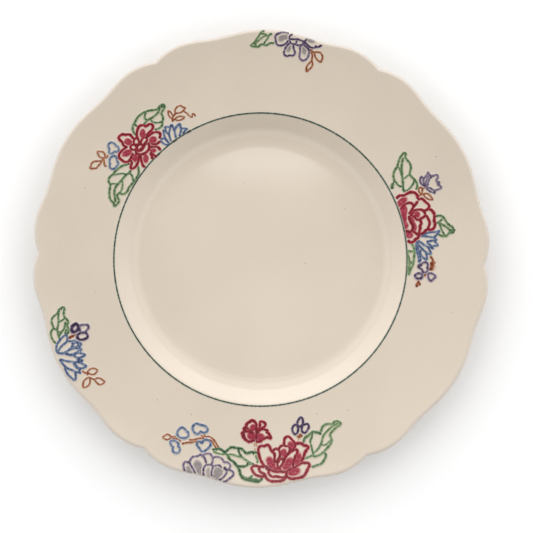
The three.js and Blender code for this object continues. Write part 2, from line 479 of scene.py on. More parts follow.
def upper_left_spray():
    s = Spray("upper_left_spray", -70.1, 59.9)
    g, c, b, r = "green", "crimson", "blue", "rust"
    # crimson flower
    s.draw(c, [(-3.5, 6.8), (-4.6, 9.4), (-4.7, 11.3), (-4.2, 13.4), (-3.4, 15.1), (-2, 15.8),
        (-0.6, 15.7), (0.4, 15.2), (1.4, 15.9), (2.8, 16.7), (4.1, 16.3), (4.6, 15), (4, 13.4), (2.7, 12),
        (1.4, 10.5), (1.1, 9.2), (1.4, 8.4)])
    s.draw(c, [(1.6, 8.8), (2.8, 10.2), (4.5, 11.6), (6.4, 12.2), (8.2, 11.9), (9, 10.6), (8.7, 9.1),
        (8.6, 8.2)])
    s.draw(c, [(9.1, 7.1), (8, 6), (6.6, 5.2), (4.8, 5.1), (3.6, 5.2)])
    s.draw(c, [(3.2, 3.4), (5, 3.5), (7, 3.7), (8.3, 2.9), (9.5, 1.4)])
    s.draw(c, [(3.5, 0.4), (5.1, -0.9), (6.4, -1.8), (7.8, -1.9)])
    s.draw(c, [(3.2, 0.2), (4.2, -1.6), (4.6, -3.1), (4.5, -3.9)])
    s.draw(c, [(-2.2, -1.6), (-1.8, -4), (-1.1, -6.4), (-0.3, -8), (1, -8.2)])
    s.draw(c, [(-7.7, -4.6), (-7.2, -6.4), (-7.7, -8.5), (-7.1, -9.6), (-5.6, -9), (-4.4, -7.7),
        (-3.6, -5.6), (-3.2, -3.4), (-3.1, -1.4)])
    s.draw(c, [(-6.4, -0.4), (-7.4, -2.4), (-8.1, -4.2), (-9.3, -5.6), (-11.3, -5.8), (-12.9, -4.9),
        (-14.4, -3.6), (-14.7, -2.1), (-14, -0.5), (-12.6, 1), (-11.2, 2.2), (-9.8, 3)])
    s.draw(c, [(-9.8, 3), (-11.4, 3.2), (-12.5, 4.3), (-12.9, 5.5), (-14.2, 6.6), (-15.2, 8),
        (-14.3, 9.4), (-12.7, 10.1), (-11.2, 9.9), (-9.8, 10.2), (-8.4, 9.9), (-7.2, 8.5), (-6.5, 7.4)])
    s.loop(c, [(-6.2, 7.2), (-4.9, 8.3), (-3.7, 7.2), (-3.2, 5.2), (-4.6, 4.4), (-6.3, 5.1)], 0.9)
    s.loop(c, [(-2.2, 5.2), (-1.9, 7.1), (-0.7, 8.6), (0.9, 8.6), (1.4, 7.2), (0.3, 5.6), (-0.8, 4.6)],
        0.9)
    s.loop(c, [(-8.2, 2.9), (-7.3, 4.3), (-5.6, 4.2), (-4.7, 2.9), (-5.6, 1.5), (-7.3, 1.5)], 0.9)
    s.loop(c, [(-4.4, 2.8), (-3.6, 4.3), (-2, 4.7), (-1, 4.1), (-1.4, 2.8), (-2.8, 1.6), (-4.1, 1.5)],
        0.9)
    s.draw(c, [(-5.6, 0), (-4.1, -0.9), (-2, -1.2), (0, -0.6), (1.8, 0.9), (2.8, 2.6), (2.6, 4.6),
        (1.7, 5.9)], 1.1)
    s.draw(c, [(1, 5.6), (-0.1, 4.1), (-0.8, 2.4), (-2.4, 1), (-4.5, 0.9), (-5.8, 0.5)], 0.9)
    for centre, radii, turn in [((-1.2, 10.8), (2.2, 3.2), 0), ((4.7, 7.4), (2.9, 2.5), 30),
            ((4.9, 1.3), (2.4, 1.5), 5), ((0.9, -3.5), (2, 3), 0), ((-5.4, -3.3), (2.3, 2.8), 0),
            ((-10, -0.6), (3.8, 2.2), 30), ((-9.6, 5.8), (2.8, 2.4), -20)]:
        s.wash("crimson_wash", centre, radii, turn, 0.85)
    # upper leaf
    s.draw(g, [(-5.2, 9.8), (-6.6, 11.7), (-7.2, 14.6), (-6.4, 16.6), (-5.6, 18.1), (-4.9, 19.6),
        (-3.6, 21.2), (-2.2, 22.4), (-0.8, 23.3), (0.9, 24), (2.6, 24.5), (4.7, 24.8), (6.5, 25.2),
        (7.5, 26.1), (8.4, 27.4), (10, 28.2), (10.9, 27.6), (10.8, 26.2), (10, 24.7), (9.3, 22.9),
        (10, 21.6), (10.3, 19.8), (9.8, 18), (10, 16.4), (8.8, 14.9), (7.2, 13.9), (5.4, 13.5)], 1.1)
    s.draw(g, [(-6.3, 16.5), (-5.4, 15.6), (-4.4, 14.9)])
    s.draw(g, [(-1.2, 16.2), (-0.4, 16.8), (0.3, 17.5), (1.3, 18.8), (2.6, 19.6), (4.4, 20.7), (6, 22.1),
        (7.4, 23.6), (8, 25.2), (8.3, 26.8)], 1.15, 0.8)
    s.draw(g, [(1, 18.9), (0, 19.5), (-0.4, 20.8), (-0.1, 22.4), (0.4, 23.4)])
    s.draw(g, [(2.8, 19.4), (4, 18.2), (5.6, 17.6), (7.2, 17.6), (8.8, 18), (9.8, 18.5)])
    s.draw(g, [(8.6, 27.3), (9.7, 27.2), (10.3, 27.5)], 1.8, 1.0)
    # lower leaf
    s.draw(g, [(-8.3, -6.6), (-9.8, -7.3), (-11.8, -7.8), (-13.6, -8.8), (-15.4, -10.4), (-17, -12),
        (-17.8, -13.3), (-19.3, -14.5), (-20.2, -15.9), (-20.2, -17.8), (-19.3, -19.2), (-19.4, -21.4),
        (-19.7, -23.4), (-19.5, -25.7), (-19.1, -27.7), (-17.6, -29.5), (-16.9, -30), (-16.7, -31.8),
        (-15.3, -30.9), (-14.2, -29.4), (-14, -28.2), (-14.9, -26.5), (-15.1, -25.4), (-14, -24.2),
        (-12, -24.6), (-10.6, -24.2), (-9.2, -22.7), (-8.6, -21), (-7.4, -19.4), (-5.9, -17.6),
        (-5.1, -16.6), (-4, -14.6), (-3, -12.3), (-3.2, -9.6), (-3.4, -8)], 1.1)
    s.draw(g, [(-7.6, -10.4), (-8.4, -12.1), (-10.4, -13.4), (-11.8, -15.2), (-13.3, -17.1), (-15, -19),
        (-16.2, -20.8), (-16.8, -23.3), (-16.6, -25.8), (-16.2, -27.8), (-16.1, -29.6)], 1.15)
    s.draw(g, [(-17.6, -13.6), (-15.6, -13.1), (-13.6, -12.7), (-11.8, -12.6), (-10.4, -13.4)], 0.9)
    s.draw(g, [(-19.1, -19.1), (-17.4, -18.7), (-15.5, -18.9)], 0.9, 0.75)
    s.draw(g, [(-8.2, -12.2), (-6.8, -13.8), (-6.2, -15.6), (-5.8, -17.3)])
    s.draw(g, [(-12.6, -16.8), (-12.2, -18.7), (-12.3, -21.1), (-13.1, -23), (-14.3, -24.3)], 1, 0.7)
    # cornflower on the ring
    s.draw(b, [(9, 7.8), (10.4, 8.5), (11.8, 8.3), (12.9, 7.1), (14.4, 5.7)])
    s.draw(b, [(9, 7.5), (9.9, 6.6), (11.4, 5.4), (13.2, 4.9), (14.3, 5.2)])
    s.draw(b, [(10.5, 13.6), (11, 11.5), (11.5, 9.5), (12.4, 8), (13.7, 6.6)], 1.1)
    s.draw(b, [(10.4, 13.8), (12.2, 12.5), (13.8, 11.2)])
    s.draw(b, [(12.2, 12.4), (12, 13.7), (11.7, 15.2), (13.2, 15.4), (14.6, 14.9), (14.3, 13.2),
        (14, 11.2), (14.7, 8.8), (15.5, 6.8)])
    s.draw(b, [(14.7, 15), (15.4, 16.8), (16.4, 14.8), (17.1, 13.4), (17.6, 11.2), (18.3, 8.9)], 1.1)
    s.draw(b, [(17.3, 13.8), (18.2, 15.6), (20, 17.2), (20.4, 15.9), (20.9, 14.8), (20.9, 13.2),
        (20.4, 11), (20, 10)], 1.2)
    s.draw(b, [(21, 14.7), (22.6, 14.8), (24.3, 14.6), (23.5, 13.7), (22.6, 12.4), (22, 11.5)], 1.1)
    # blossoms and sprigs
    s.loop(b, [(-18.8, 5.1), (-17.4, 4.4), (-16.4, 3.2), (-15.2, 2.6), (-14.9, 1.2), (-15.7, -0.1),
        (-17.4, -0.1), (-18.4, -1), (-19.6, -1.3), (-20.5, -0.6), (-20.4, 1.2), (-21, 2.9), (-20.8, 4.2),
        (-19.8, 5)], 1.1, 0.7)
    s.loop(b, [(-17.5, -2.6), (-16.3, -3.1), (-15.8, -4.7), (-15.4, -6), (-14.9, -7), (-15.8, -8.4),
        (-17, -9.9), (-18.5, -10.2), (-19.9, -9.1), (-19.8, -7.2), (-20.1, -5.7), (-19.6, -3.8),
        (-18.5, -2.9)], 1.1, 0.75)
    s.loop(r, [(-23.4, -4.1), (-24.6, -3.8), (-25.8, -3.4), (-26.7, -2.1), (-27.2, -0.4), (-25.9, -0.3),
        (-24.4, -0.4), (-23.3, -1.2), (-22.8, -2.4), (-22.8, -3.5)], 1.2, 0.7)
    s.draw(r, [(-23.2, -3.9), (-21.2, -3.6)], 1.2, 0.7)
    s.draw(r, [(-21.5, -3.5), (-21, -2.1)], 1.1, 0.7)
    s.draw(r, [(-25.2, -6.2), (-24.2, -5.2), (-23.2, -4.1)], 1.2, 0.7)
    s.draw(r, [(-23.4, -4.5), (-23.2, -6.3), (-22.8, -8.2), (-21.5, -8.8)], 1.2, 0.75)
    s.loop(r, [(-24.8, -5.9), (-26.5, -5.9), (-29, -6.2), (-30.4, -7.5), (-30.7, -8.9), (-31.2, -10.3),
        (-29, -10.2), (-27.5, -9.9), (-26.3, -8.4), (-25.2, -7.1)], 1.2, 0.8)
    s.draw(r, [(15.4, 18.4), (16, 19.2), (15.8, 20.2), (16.2, 21.6), (16.9, 22.5), (17.6, 23.6)], 1.2)
    s.draw(r, [(15.8, 20), (14.4, 21), (13.4, 22.5), (13.2, 24.7), (14.4, 24.1), (15.4, 22.8),
        (16.2, 21.6)])
    s.loop(r, [(17.5, 23.6), (17.2, 25.3), (18.3, 27.1), (20.2, 28), (21.5, 27.2), (23.1, 26.8),
        (22.2, 25.5), (20.9, 24.2), (19.4, 23.7)], 1.1)
    s.draw(r, [(21.9, 24.9), (24.1, 23.7), (25.4, 22.3), (27.1, 21.5), (27.3, 23.2), (28.2, 23.4),
        (29.2, 21.9)])
    s.draw(r, [(16.1, 19.1), (17.2, 20.1), (18.6, 21.3), (20.4, 21.8), (22.8, 21.4), (21.4, 20.1),
        (20, 19.5), (18.4, 19.4), (17.2, 19.8)], 1.1)
    return s


def right_spray():
    s = Spray("right_spray", 95.4, 24.7)
    g, c, b, v, r = "green", "crimson", "blue", "violet", "rust"
    # upper leaf
    s.draw(g, [(-20.2, 18.2), (-20.4, 20), (-19.8, 22)], 1.5, 1.0)
    s.draw(g, [(-19.8, 22), (-19.2, 23.2), (-19.8, 25.4), (-19.7, 27.8), (-18.8, 30), (-17.8, 31.8),
        (-17.2, 34), (-16.5, 36.3), (-15.4, 38.1), (-14, 39.6), (-13.1, 38.9), (-13.5, 37.4),
        (-12.4, 35.7), (-10.8, 34), (-9.9, 31.5), (-10.2, 29), (-10.4, 27.2), (-9.1, 25.6), (-7.5, 24.1),
        (-6.2, 22.1), (-5.8, 20), (-6.7, 18.3)], 1.1)
    s.draw(g, [(-7.6, 24.1), (-8, 22.4), (-9.2, 20.3), (-10.8, 18.4), (-12.5, 17.5), (-13.9, 16.8)])
    s.draw(g, [(-13.6, 17.2), (-14, 19.5), (-14.2, 22.1), (-14.6, 24.8), (-14.9, 27.4), (-15.3, 30.2),
        (-15.2, 32.6), (-14.9, 34.8), (-14.6, 36.8)], 1.15)
    s.draw(g, [(-19.2, 23.2), (-18.3, 22.4), (-16.9, 20.7), (-14.7, 19.7)])
    s.draw(g, [(-17.8, 31.6), (-16.6, 30.5), (-15.8, 28.6), (-15.1, 26.2)], 0.9)
    s.draw(g, [(-14.4, 24.4), (-13.2, 25), (-11.9, 26.1), (-10.6, 27.1)], 0.9, 0.7)
    # peony, cut off by the ring on its left
    s.draw(c, [(-17.6, 12.5), (-16.9, 13.9), (-15.3, 14.7), (-13.4, 14.7), (-12, 15.6), (-10.3, 16.6),
        (-8, 16.8), (-6.4, 16), (-5.4, 14.4), (-5.5, 12.8)], 1.1)
    s.draw(c, [(-5.6, 12.6), (-4.5, 12.9), (-3, 13.2), (-1.8, 12.4), (-0.4, 11.1), (0.9, 10.1),
        (1.5, 8.6), (0.6, 7.2), (-0.5, 6.5), (-1.6, 6)])
    s.draw(c, [(-5.3, 12), (-6, 10.4), (-7, 9.1), (-7.8, 8), (-8.3, 6.8), (-9.4, 5.2), (-10.4, 3.9)])
    s.draw(c, [(-15, 6.8), (-14, 8.3), (-12.4, 9.6), (-10.6, 10.6), (-8.9, 10.4), (-7.8, 9.3),
        (-7.8, 7.9)])
    s.loop(c, [(-9, 3.4), (-7.8, 4.8), (-6.7, 6.3), (-4.8, 6.7), (-2.8, 6.7), (-1.6, 5.9), (-0.9, 4.8),
        (-0.7, 3.5), (-1.6, 2.5), (-3.2, 1.6), (-4.6, 1), (-5.6, 1.1), (-6.9, 2.4), (-8, 3.1)])
    s.draw(c, [(1, 6.8), (2.2, 7), (3.6, 6), (4.5, 4.5), (4.7, 2.6), (4.6, 0.6), (5.1, -0.8), (5.1, -2.3),
        (4.3, -4), (2.9, -4.8), (1.2, -4.5), (0, -5.2), (-1, -6.4), (-2.4, -7.3), (-3.8, -7.5)], 1.1)
    s.draw(c, [(-0.6, 3.8), (0.5, 2.7), (1.2, 1.4), (1.9, 0.1), (2, -1.6), (1.4, -3.2), (1, -4.4)])
    s.draw(c, [(-4.2, 0.9), (-3.2, 0.2), (-2.8, -1.4), (-3.6, -2.8), (-3.3, -4), (-3.6, -5.2),
        (-3.9, -6.8), (-3.9, -8), (-3.6, -9.3)], 1.1)
    s.draw(c, [(-10, 3.3), (-9.6, 1), (-8.6, -0.8), (-7.6, -2.4), (-7.4, -4), (-8, -5.5), (-9.4, -6.4),
        (-10.8, -6), (-11.9, -5.6)], 1.25, 1.0)
    s.draw(c, [(-8, -5.6), (-6.4, -6.6), (-5, -7.5), (-4.1, -8.6), (-4.6, -9.8), (-5.7, -10.5),
        (-6.8, -11.8), (-8.2, -12.4), (-9.6, -12), (-10.3, -11)], 1.1)
    for centre, radii, turn in [((-14.4, 11), (4.2, 2.3), 40), ((-13.2, 6), (2.5, 4), 8),
            ((-13.2, 1.6), (2.3, 4.2), 8), ((-12.2, -2.4), (2.3, 3), 20), ((-5.4, 3.9), (2.1, 2.3), 0),
            ((-8.3, 0.6), (1.6, 3), 35), ((-6.5, -3.2), (1.4, 3), 8), ((-9.8, -8), (3, 2.5), 0)]:
        s.wash("crimson_wash", centre, radii, turn, 0.85)
    # tulip
    s.draw(v, [(-1, 20.3), (-3.1, 21.5), (-4.2, 23.1), (-4.1, 25), (-3.4, 26.1), (-2.8, 25.1),
        (-2, 25.3)], 1.1, 0.75)
    s.draw(v, [(-2, 25.6), (-2.4, 23.6), (-1.9, 21.8), (-1, 20.3), (0.6, 18.4), (2.3, 17.2), (3.7, 17)],
        1.1, 0.75)
    s.draw(v, [(-2, 25.2), (-1, 26.3), (0, 27.7), (0.2, 28.8), (1, 27.3), (2.4, 26.4), (3.8, 26.9),
        (5.4, 27.2), (5.9, 25.7), (5.1, 24.5), (5.6, 23.3), (6.8, 23.1), (6.7, 21.6), (8, 20.3),
        (7, 19.1), (5.4, 18.6), (4.4, 17.7), (4.1, 16)], 1.15, 0.7)
    s.draw(v, [(5.1, 24.4), (5.8, 22.4), (6.4, 20.6)], 1.0, 0.65)
    s.draw(v, [(2.3, 26.2), (1.1, 24.8), (0.4, 23), (0.2, 21.4), (-0.6, 20.4), (1.3, 19.7), (2.9, 18.8),
        (4.3, 17.9)], 1.0, 0.7)
    s.draw(v, [(0.9, 26.8), (-0.2, 25.2), (-0.9, 22.8), (-0.9, 20.6)], 0.9, 0.65)
    for x, y in [(-3.4, 25.7), (-2, 25.2), (0.2, 28), (-0.8, 20), (4.2, 16.4)]:
        s.draw(v, [(x - 0.2, y - 0.2), (x + 0.2, y + 0.2)], 1.5, 1.0)
    # sprig
    s.loop(r, [(-3.4, 15.8), (-4.5, 16.9), (-5, 18.4), (-4.3, 19.6), (-3.2, 19.4), (-2.8, 18),
        (-3, 16.7)], 1.2)
    s.draw(r, [(-2.5, 18.9), (-1.2, 19.9)])
    s.draw(r, [(-5.1, 14.1), (-4.1, 15.2), (-3.2, 15.8), (-1.9, 15.9)], 1.4)
    s.loop(r, [(-1.9, 15.9), (-0.1, 16.3), (1.7, 15.2), (2.7, 13.9), (3.3, 12.8), (1.4, 12.9),
        (-0.4, 13.6), (-1.4, 14.6)], 1.2)
    # leaf on the right
    s.draw(g, [(4.9, 2.9), (6.5, 3.5), (8.6, 3.5), (10.1, 2.4), (11.2, 0.9), (12.4, -0.8), (13.9, -2),
        (15.4, -3), (15.9, -4.2), (17, -5.2)], 1.15)
    s.draw(g, [(5.8, -0.9), (7, -0.5), (8.2, 0.6), (9.3, 1.7)], 1.1)
    s.draw(g, [(7.6, -0.8), (8.9, -1.3), (10.7, -2.2), (12.5, -3.3), (13.9, -4.6), (15.6, -4.9)], 1.1)
    s.draw(g, [(7.5, -0.8), (8.3, -2.4), (9.1, -4.6), (10.2, -6.5), (10.9, -7.9)])
    s.draw(g, [(7.3, -7.2), (8.6, -7.9), (10.4, -8.3), (12.2, -7.9), (13.2, -6.6), (14.8, -6.1),
        (16.6, -5.4)], 1.1)
    s.draw(g, [(12.6, -7.4), (13.4, -6), (13.8, -4.8)], 0.9, 0.7)
    # cornflower
    s.draw(b, [(-2.9, -9), (-1.5, -8.4), (-0.4, -7.4), (1, -6.6), (3.4, -6.1), (5.7, -6), (7.8, -5.4),
        (7.1, -6.5), (6, -8), (4.8, -9), (3, -9), (1, -8.7), (-1.2, -8.6)], 1.1)
    s.draw(b, [(4.6, -9.2), (5.7, -10.1), (6.3, -10.6), (5.4, -10.9), (4.6, -10.9), (2.4, -11.4),
        (0.4, -11.9)], 1.1)
    s.draw(b, [(4.8, -11), (6, -12.2), (7.2, -13.7), (5.4, -14), (3.7, -14.2), (2, -13.1), (0.6, -12)])
    s.draw(b, [(-4.5, -11.2), (-2.6, -12.4), (-0.7, -13.8), (1.5, -14.8), (3.2, -15), (4.4, -16),
        (3.6, -14.3)], 1.1)
    s.draw(b, [(1.8, -14.9), (2.5, -16.6), (3.4, -18.8), (1.8, -18.7), (0, -17.6), (-2, -15.8),
        (-3.6, -14), (-4.6, -12.2)], 1.1)
    s.draw(b, [(0.4, -18), (1, -20.2), (1, -22.3), (-0.5, -21.5), (-1.9, -20.2), (-2.9, -18.3),
        (-2.5, -16.4)], 1.1)
    s.draw(b, [(-4.8, -11.5), (-5.3, -14), (-5, -16.7), (-4.2, -19.3), (-3.6, -21.6), (-3.3, -23.8),
        (-2.5, -21.8), (-2.9, -19.4), (-3.9, -16.7), (-4.6, -14)], 1.1)
    # leaf along the ring
    s.draw(g, [(-8.2, -13.2), (-7, -14.6), (-6.3, -16.8), (-6.2, -19.2), (-6.4, -21.5), (-6.6, -24.4),
        (-7.5, -26.8), (-8.6, -29.2), (-9.2, -31.8)], 1.2, 0.7)
    s.draw(g, [(-7, -17.4), (-8.2, -17.8), (-9.5, -17.4), (-10.1, -18.7), (-9.5, -21), (-8.8, -23.4),
        (-7.3, -24.5)], 1.1, 0.7)
    s.draw(g, [(-10, -19), (-10, -22), (-9.9, -25), (-9.8, -28.4), (-9.6, -31)], 1.2, 0.6)
    s.draw(g, [(-8.7, -24), (-8.9, -26.4), (-9.2, -28.8)], 1.0, 0.6)
    # violet blossoms
    s.loop(v, [(-2.1, -24.8), (-0.4, -23.9), (1, -24), (1.8, -25.3), (1.6, -27), (1.8, -28.4),
        (0.9, -29.5), (-0.6, -29.8), (-1.4, -28.4), (-2.4, -27.5), (-3.6, -26.9), (-3.4, -25.6)], 1.25,
        0.8)
    s.loop(v, [(-4.4, -30.7), (-2.6, -30.4), (-1.4, -31.2), (-1.2, -32.3), (-2.6, -33.4), (-4.5, -33.2),
        (-5.4, -31.9)], 1.35)
    s.loop(v, [(2.4, -30.4), (3.6, -30.1), (5.2, -30.7), (6.4, -32.1), (5, -33.6), (3.8, -34.5),
        (2.6, -33.4), (2.1, -31.8)], 1.25, 0.75)
    s.draw(v, [(-1.6, -24.9), (-3, -26), (-3.3, -26.8)], 1.5, 1.0)
    s.draw(r, [(2.9, -20.1), (4.2, -21.7), (4.8, -23.3), (6.2, -24.3)], 1.5)
    s.draw(r, [(3.5, -23.3), (4.2, -25.4), (3.8, -27.2), (2.8, -28.4)], 3.0, 0.95)
    s.draw(r, [(0.9, -30.4), (0.2, -31.5), (-0.5, -31.9)], 1.9)
    s.draw(r, [(-3.1, -34.4), (-3.6, -36), (-4.3, -37.1), (-4, -38.6)], 1.7, 0.95)
    s.draw(r, [(-3.2, -35.2), (-2.8, -36.4), (-2.5, -37.6)], 1.6, 0.9)
    return s


def lower_left_spray():
    s = Spray("lower_left_spray", -105, -55.5)
    g, b, v, r = "green", "blue", "violet", "rust"
    s.draw(g, [(-9.2, 24.2), (-10.6, 23.4), (-11.9, 22.3), (-12.4, 20.6), (-13.6, 19.3), (-15, 18),
        (-15.8, 16), (-15.4, 13.8), (-14.6, 11.8), (-15.2, 10.6), (-15.8, 9.4), (-15.8, 7.3),
        (-14.8, 4.8), (-13.4, 3.2), (-12.6, 2.6)])
    s.draw(g, [(-9.1, 24.2), (-8.7, 22.8), (-9, 21.2), (-8.9, 19.4), (-8.4, 18), (-7, 16.6), (-6.2, 15),
        (-6.8, 13.4), (-6.1, 11.4), (-5.9, 9.5), (-7, 7.8)], 1.1)
    s.draw(g, [(-11.6, 22), (-12, 19.8), (-12, 17.4), (-11.8, 15.2), (-12, 13), (-12.4, 10.8),
        (-11.9, 8.4), (-11.2, 6.4), (-10.4, 4.8)])
    s.draw(g, [(-14.5, 11.7), (-13.5, 10.8), (-12.4, 10.9)], 0.9)
    s.draw(g, [(-11.7, 15.2), (-10.4, 15.8), (-9, 16.8), (-8.2, 17.7)])
    s.draw(g, [(-12, 9.9), (-10.9, 9.1), (-9.3, 10.1), (-8.4, 11.5), (-8, 13.4), (-7.7, 15.5)], 1.1)
    s.draw(g, [(-11, 6.6), (-10.6, 8), (-9.6, 9.6)])
    s.draw(g, [(-8, 8.2), (-7.4, 9.6), (-7.2, 11.4)], 1.0, 0.8)
    s.draw(g, [(-11.2, 22.4), (-10.4, 23), (-9.8, 22.8)], 1.5, 0.9)
    s.loop(v, [(-4.1, 11.4), (-3.5, 13.1), (-1.9, 14.2), (-0.6, 13.4), (-0.2, 11.8), (-1.1, 10.4),
        (-2.8, 9.6), (-3.9, 10.2)], 1.7, 1.15)
    s.loop(v, [(0.2, 12.2), (1, 13.5), (2.8, 13.9), (4.6, 13.9), (5.6, 12.8), (4.9, 11.1), (3.6, 9.8),
        (1.8, 9.4), (0.5, 10.6)], 1.3, 0.75)
    s.loop(v, [(0.8, 9), (-0.6, 7.6), (-0.4, 6), (1.2, 5.2), (3.2, 5.5), (4.9, 6.4), (5.2, 7.8),
        (4.1, 9.2), (2.2, 9.3)], 1.3, 1.1)
    s.draw(v, [(0, 12.6), (0.2, 11.4), (0.4, 10.2)], 1.7, 1.0)
    s.draw(v, [(-0.7, 7.4), (-0.5, 6.2), (0.3, 5.6)], 1.7, 1.0)
    s.draw(r, [(-5.8, 5.5), (-4.8, 6.4), (-3.5, 7.2), (-2.3, 7.7)], 1.9, 1.0)
    s.draw(r, [(-3.5, 7.2), (-2.3, 7.8), (-1.3, 8.4)], 1.2)
    # cornflower
    s.loop(b, [(-11.9, -2.4), (-12.4, -1.2), (-12.5, 0.4), (-12.2, 2), (-11.4, 3.5), (-10.6, 4.8),
        (-9.7, 5.9), (-8.6, 6.9), (-7.9, 7.5), (-6.8, 7.2), (-6.4, 5.9), (-6.5, 4.3), (-7.3, 3.2),
        (-8.6, 2.1), (-9.8, 0.9), (-10.7, -0.5), (-11.7, -2.1)], 1.1, 0.9)
    s.draw(b, [(-6.5, 4.3), (-5, 4.2), (-3.7, 4.3), (-2.1, 4.5), (-0.8, 3.9), (0.9, 3.3), (1.7, 2.7),
        (1.2, 1.9), (0.6, 0.9), (1.1, 0.3), (1.9, -0.4), (1.5, -1.2), (1.1, -1.8)], 1.1)
    s.draw(b, [(-3.4, 3.6), (-3.3, 2), (-3.8, 0.7), (-5.1, -0.7), (-6.7, -1.8), (-8.5, -2.7),
        (-10.3, -2.9), (-11.9, -2.5)], 1.1)
    s.loop(b, [(-3.1, 1.7), (-2.7, 2.7), (-1.8, 3.3), (-0.6, 3.4), (-0.1, 2.7), (-0.1, 1.8), (-0.9, 1.2),
        (-2.3, 0.9)])
    s.loop(b, [(-6.9, -2.6), (-5.4, -1.1), (-3.5, -0.3), (-1.7, 0.2), (-0.1, 0.1), (0.4, -0.8),
        (-0.1, -1.7), (-1.4, -2.5), (-2.9, -3.2), (-4.5, -3.5), (-5.8, -3.2)], 1.05)
    s.draw(b, [(-11.9, -2.6), (-10.3, -3), (-8.5, -3.1), (-7.2, -3.1), (-5.7, -3.6), (-4.2, -3.9),
        (-2.9, -3.9), (-1.8, -4.4)], 1.1)
    s.loop(b, [(-1.9, -3.7), (-0.8, -2.7), (0.8, -2.4), (2.2, -2.8), (3.7, -3.2), (4.1, -3.7),
        (3.4, -4.2), (2.2, -4.8), (0.9, -5.2), (-0.7, -5.1), (-1.8, -4.4)], 1.1, 0.9)
    s.draw(b, [(1.2, -5.3), (1.1, -6.1), (2.5, -6.9), (1.6, -7.6), (0.1, -7.5), (-0.9, -7.9)], 1.3, 0.95)
    s.draw(b, [(0.3, -5.4), (0.4, -7.4)], 1.5, 0.95)
    s.draw(b, [(-10.6, -6.4), (-9.2, -6.7), (-7.6, -7.1), (-5.7, -7.5), (-3.8, -7.6), (-2, -7.8),
        (-0.7, -7.8)], 1.1)
    s.draw(b, [(-10.5, -6.4), (-9.4, -7.7), (-8.5, -9.1), (-7.3, -10.3), (-6, -11.4), (-4.4, -12.1),
        (-2.6, -12.7), (-1, -13.6), (0.3, -13.8), (1.1, -12.9), (1.3, -12.1)], 1.15, 0.9)
    s.draw(b, [(-2.8, -8.1), (-2, -8.9), (-1.3, -10), (-0.2, -11.2), (1.1, -12.1)], 1.1)
    s.loop(b, [(-1.6, -8.5), (-0.4, -7.9), (1.2, -8.1), (2.7, -8.7), (4, -9.4), (5.1, -10.1),
        (3.9, -10.9), (2.6, -11.3), (1.2, -11.3), (-0.2, -10.5), (-1.1, -9.4)], 1.1, 0.9)
    s.draw(b, [(1.8, -11.6), (1.3, -12.7), (1.5, -13.7), (2, -14.8)], 1.1)
    s.draw(b, [(-7.2, -10.7), (-6.8, -12.4), (-6, -14), (-4.9, -15.6), (-3.5, -16.8), (-2.2, -17.9),
        (-1.3, -18.4), (-0.8, -17.5), (-0.8, -15.9), (-1, -14.3), (-1.2, -13.5)], 1.1, 0.9)
    # sprig
    s.draw(r, [(2.7, -12.8), (4.1, -13.7), (5.7, -14.2), (6.8, -14.3)], 1.2)
    s.draw(r, [(5.6, -13), (6, -14.2), (6.1, -15.5)], 1.2)
    s.loop(r, [(6, -13.5), (6.5, -12.4), (8, -11.4), (9.6, -11.2), (11.5, -12.2), (10.9, -13.6),
        (9.6, -14.7), (8, -14.7), (6.8, -14.2)], 1.1)
    s.draw(r, [(7.1, -16.6), (8.6, -17.2), (10.2, -17.7)], 1.2)
    s.loop(r, [(10.3, -17.7), (11.5, -16.9), (13, -16.8), (14.6, -17.7), (15.9, -18.9), (14.8, -20),
        (13.2, -20.6), (11.6, -19.6), (10.5, -18.3)], 1.1)
    s.loop(r, [(7, -16.6), (5.4, -17.2), (4, -18.7), (3.6, -20.7), (4, -22.4), (5.7, -21.9), (7.1, -20.7),
        (7.6, -18.7)], 1.2)
    return s


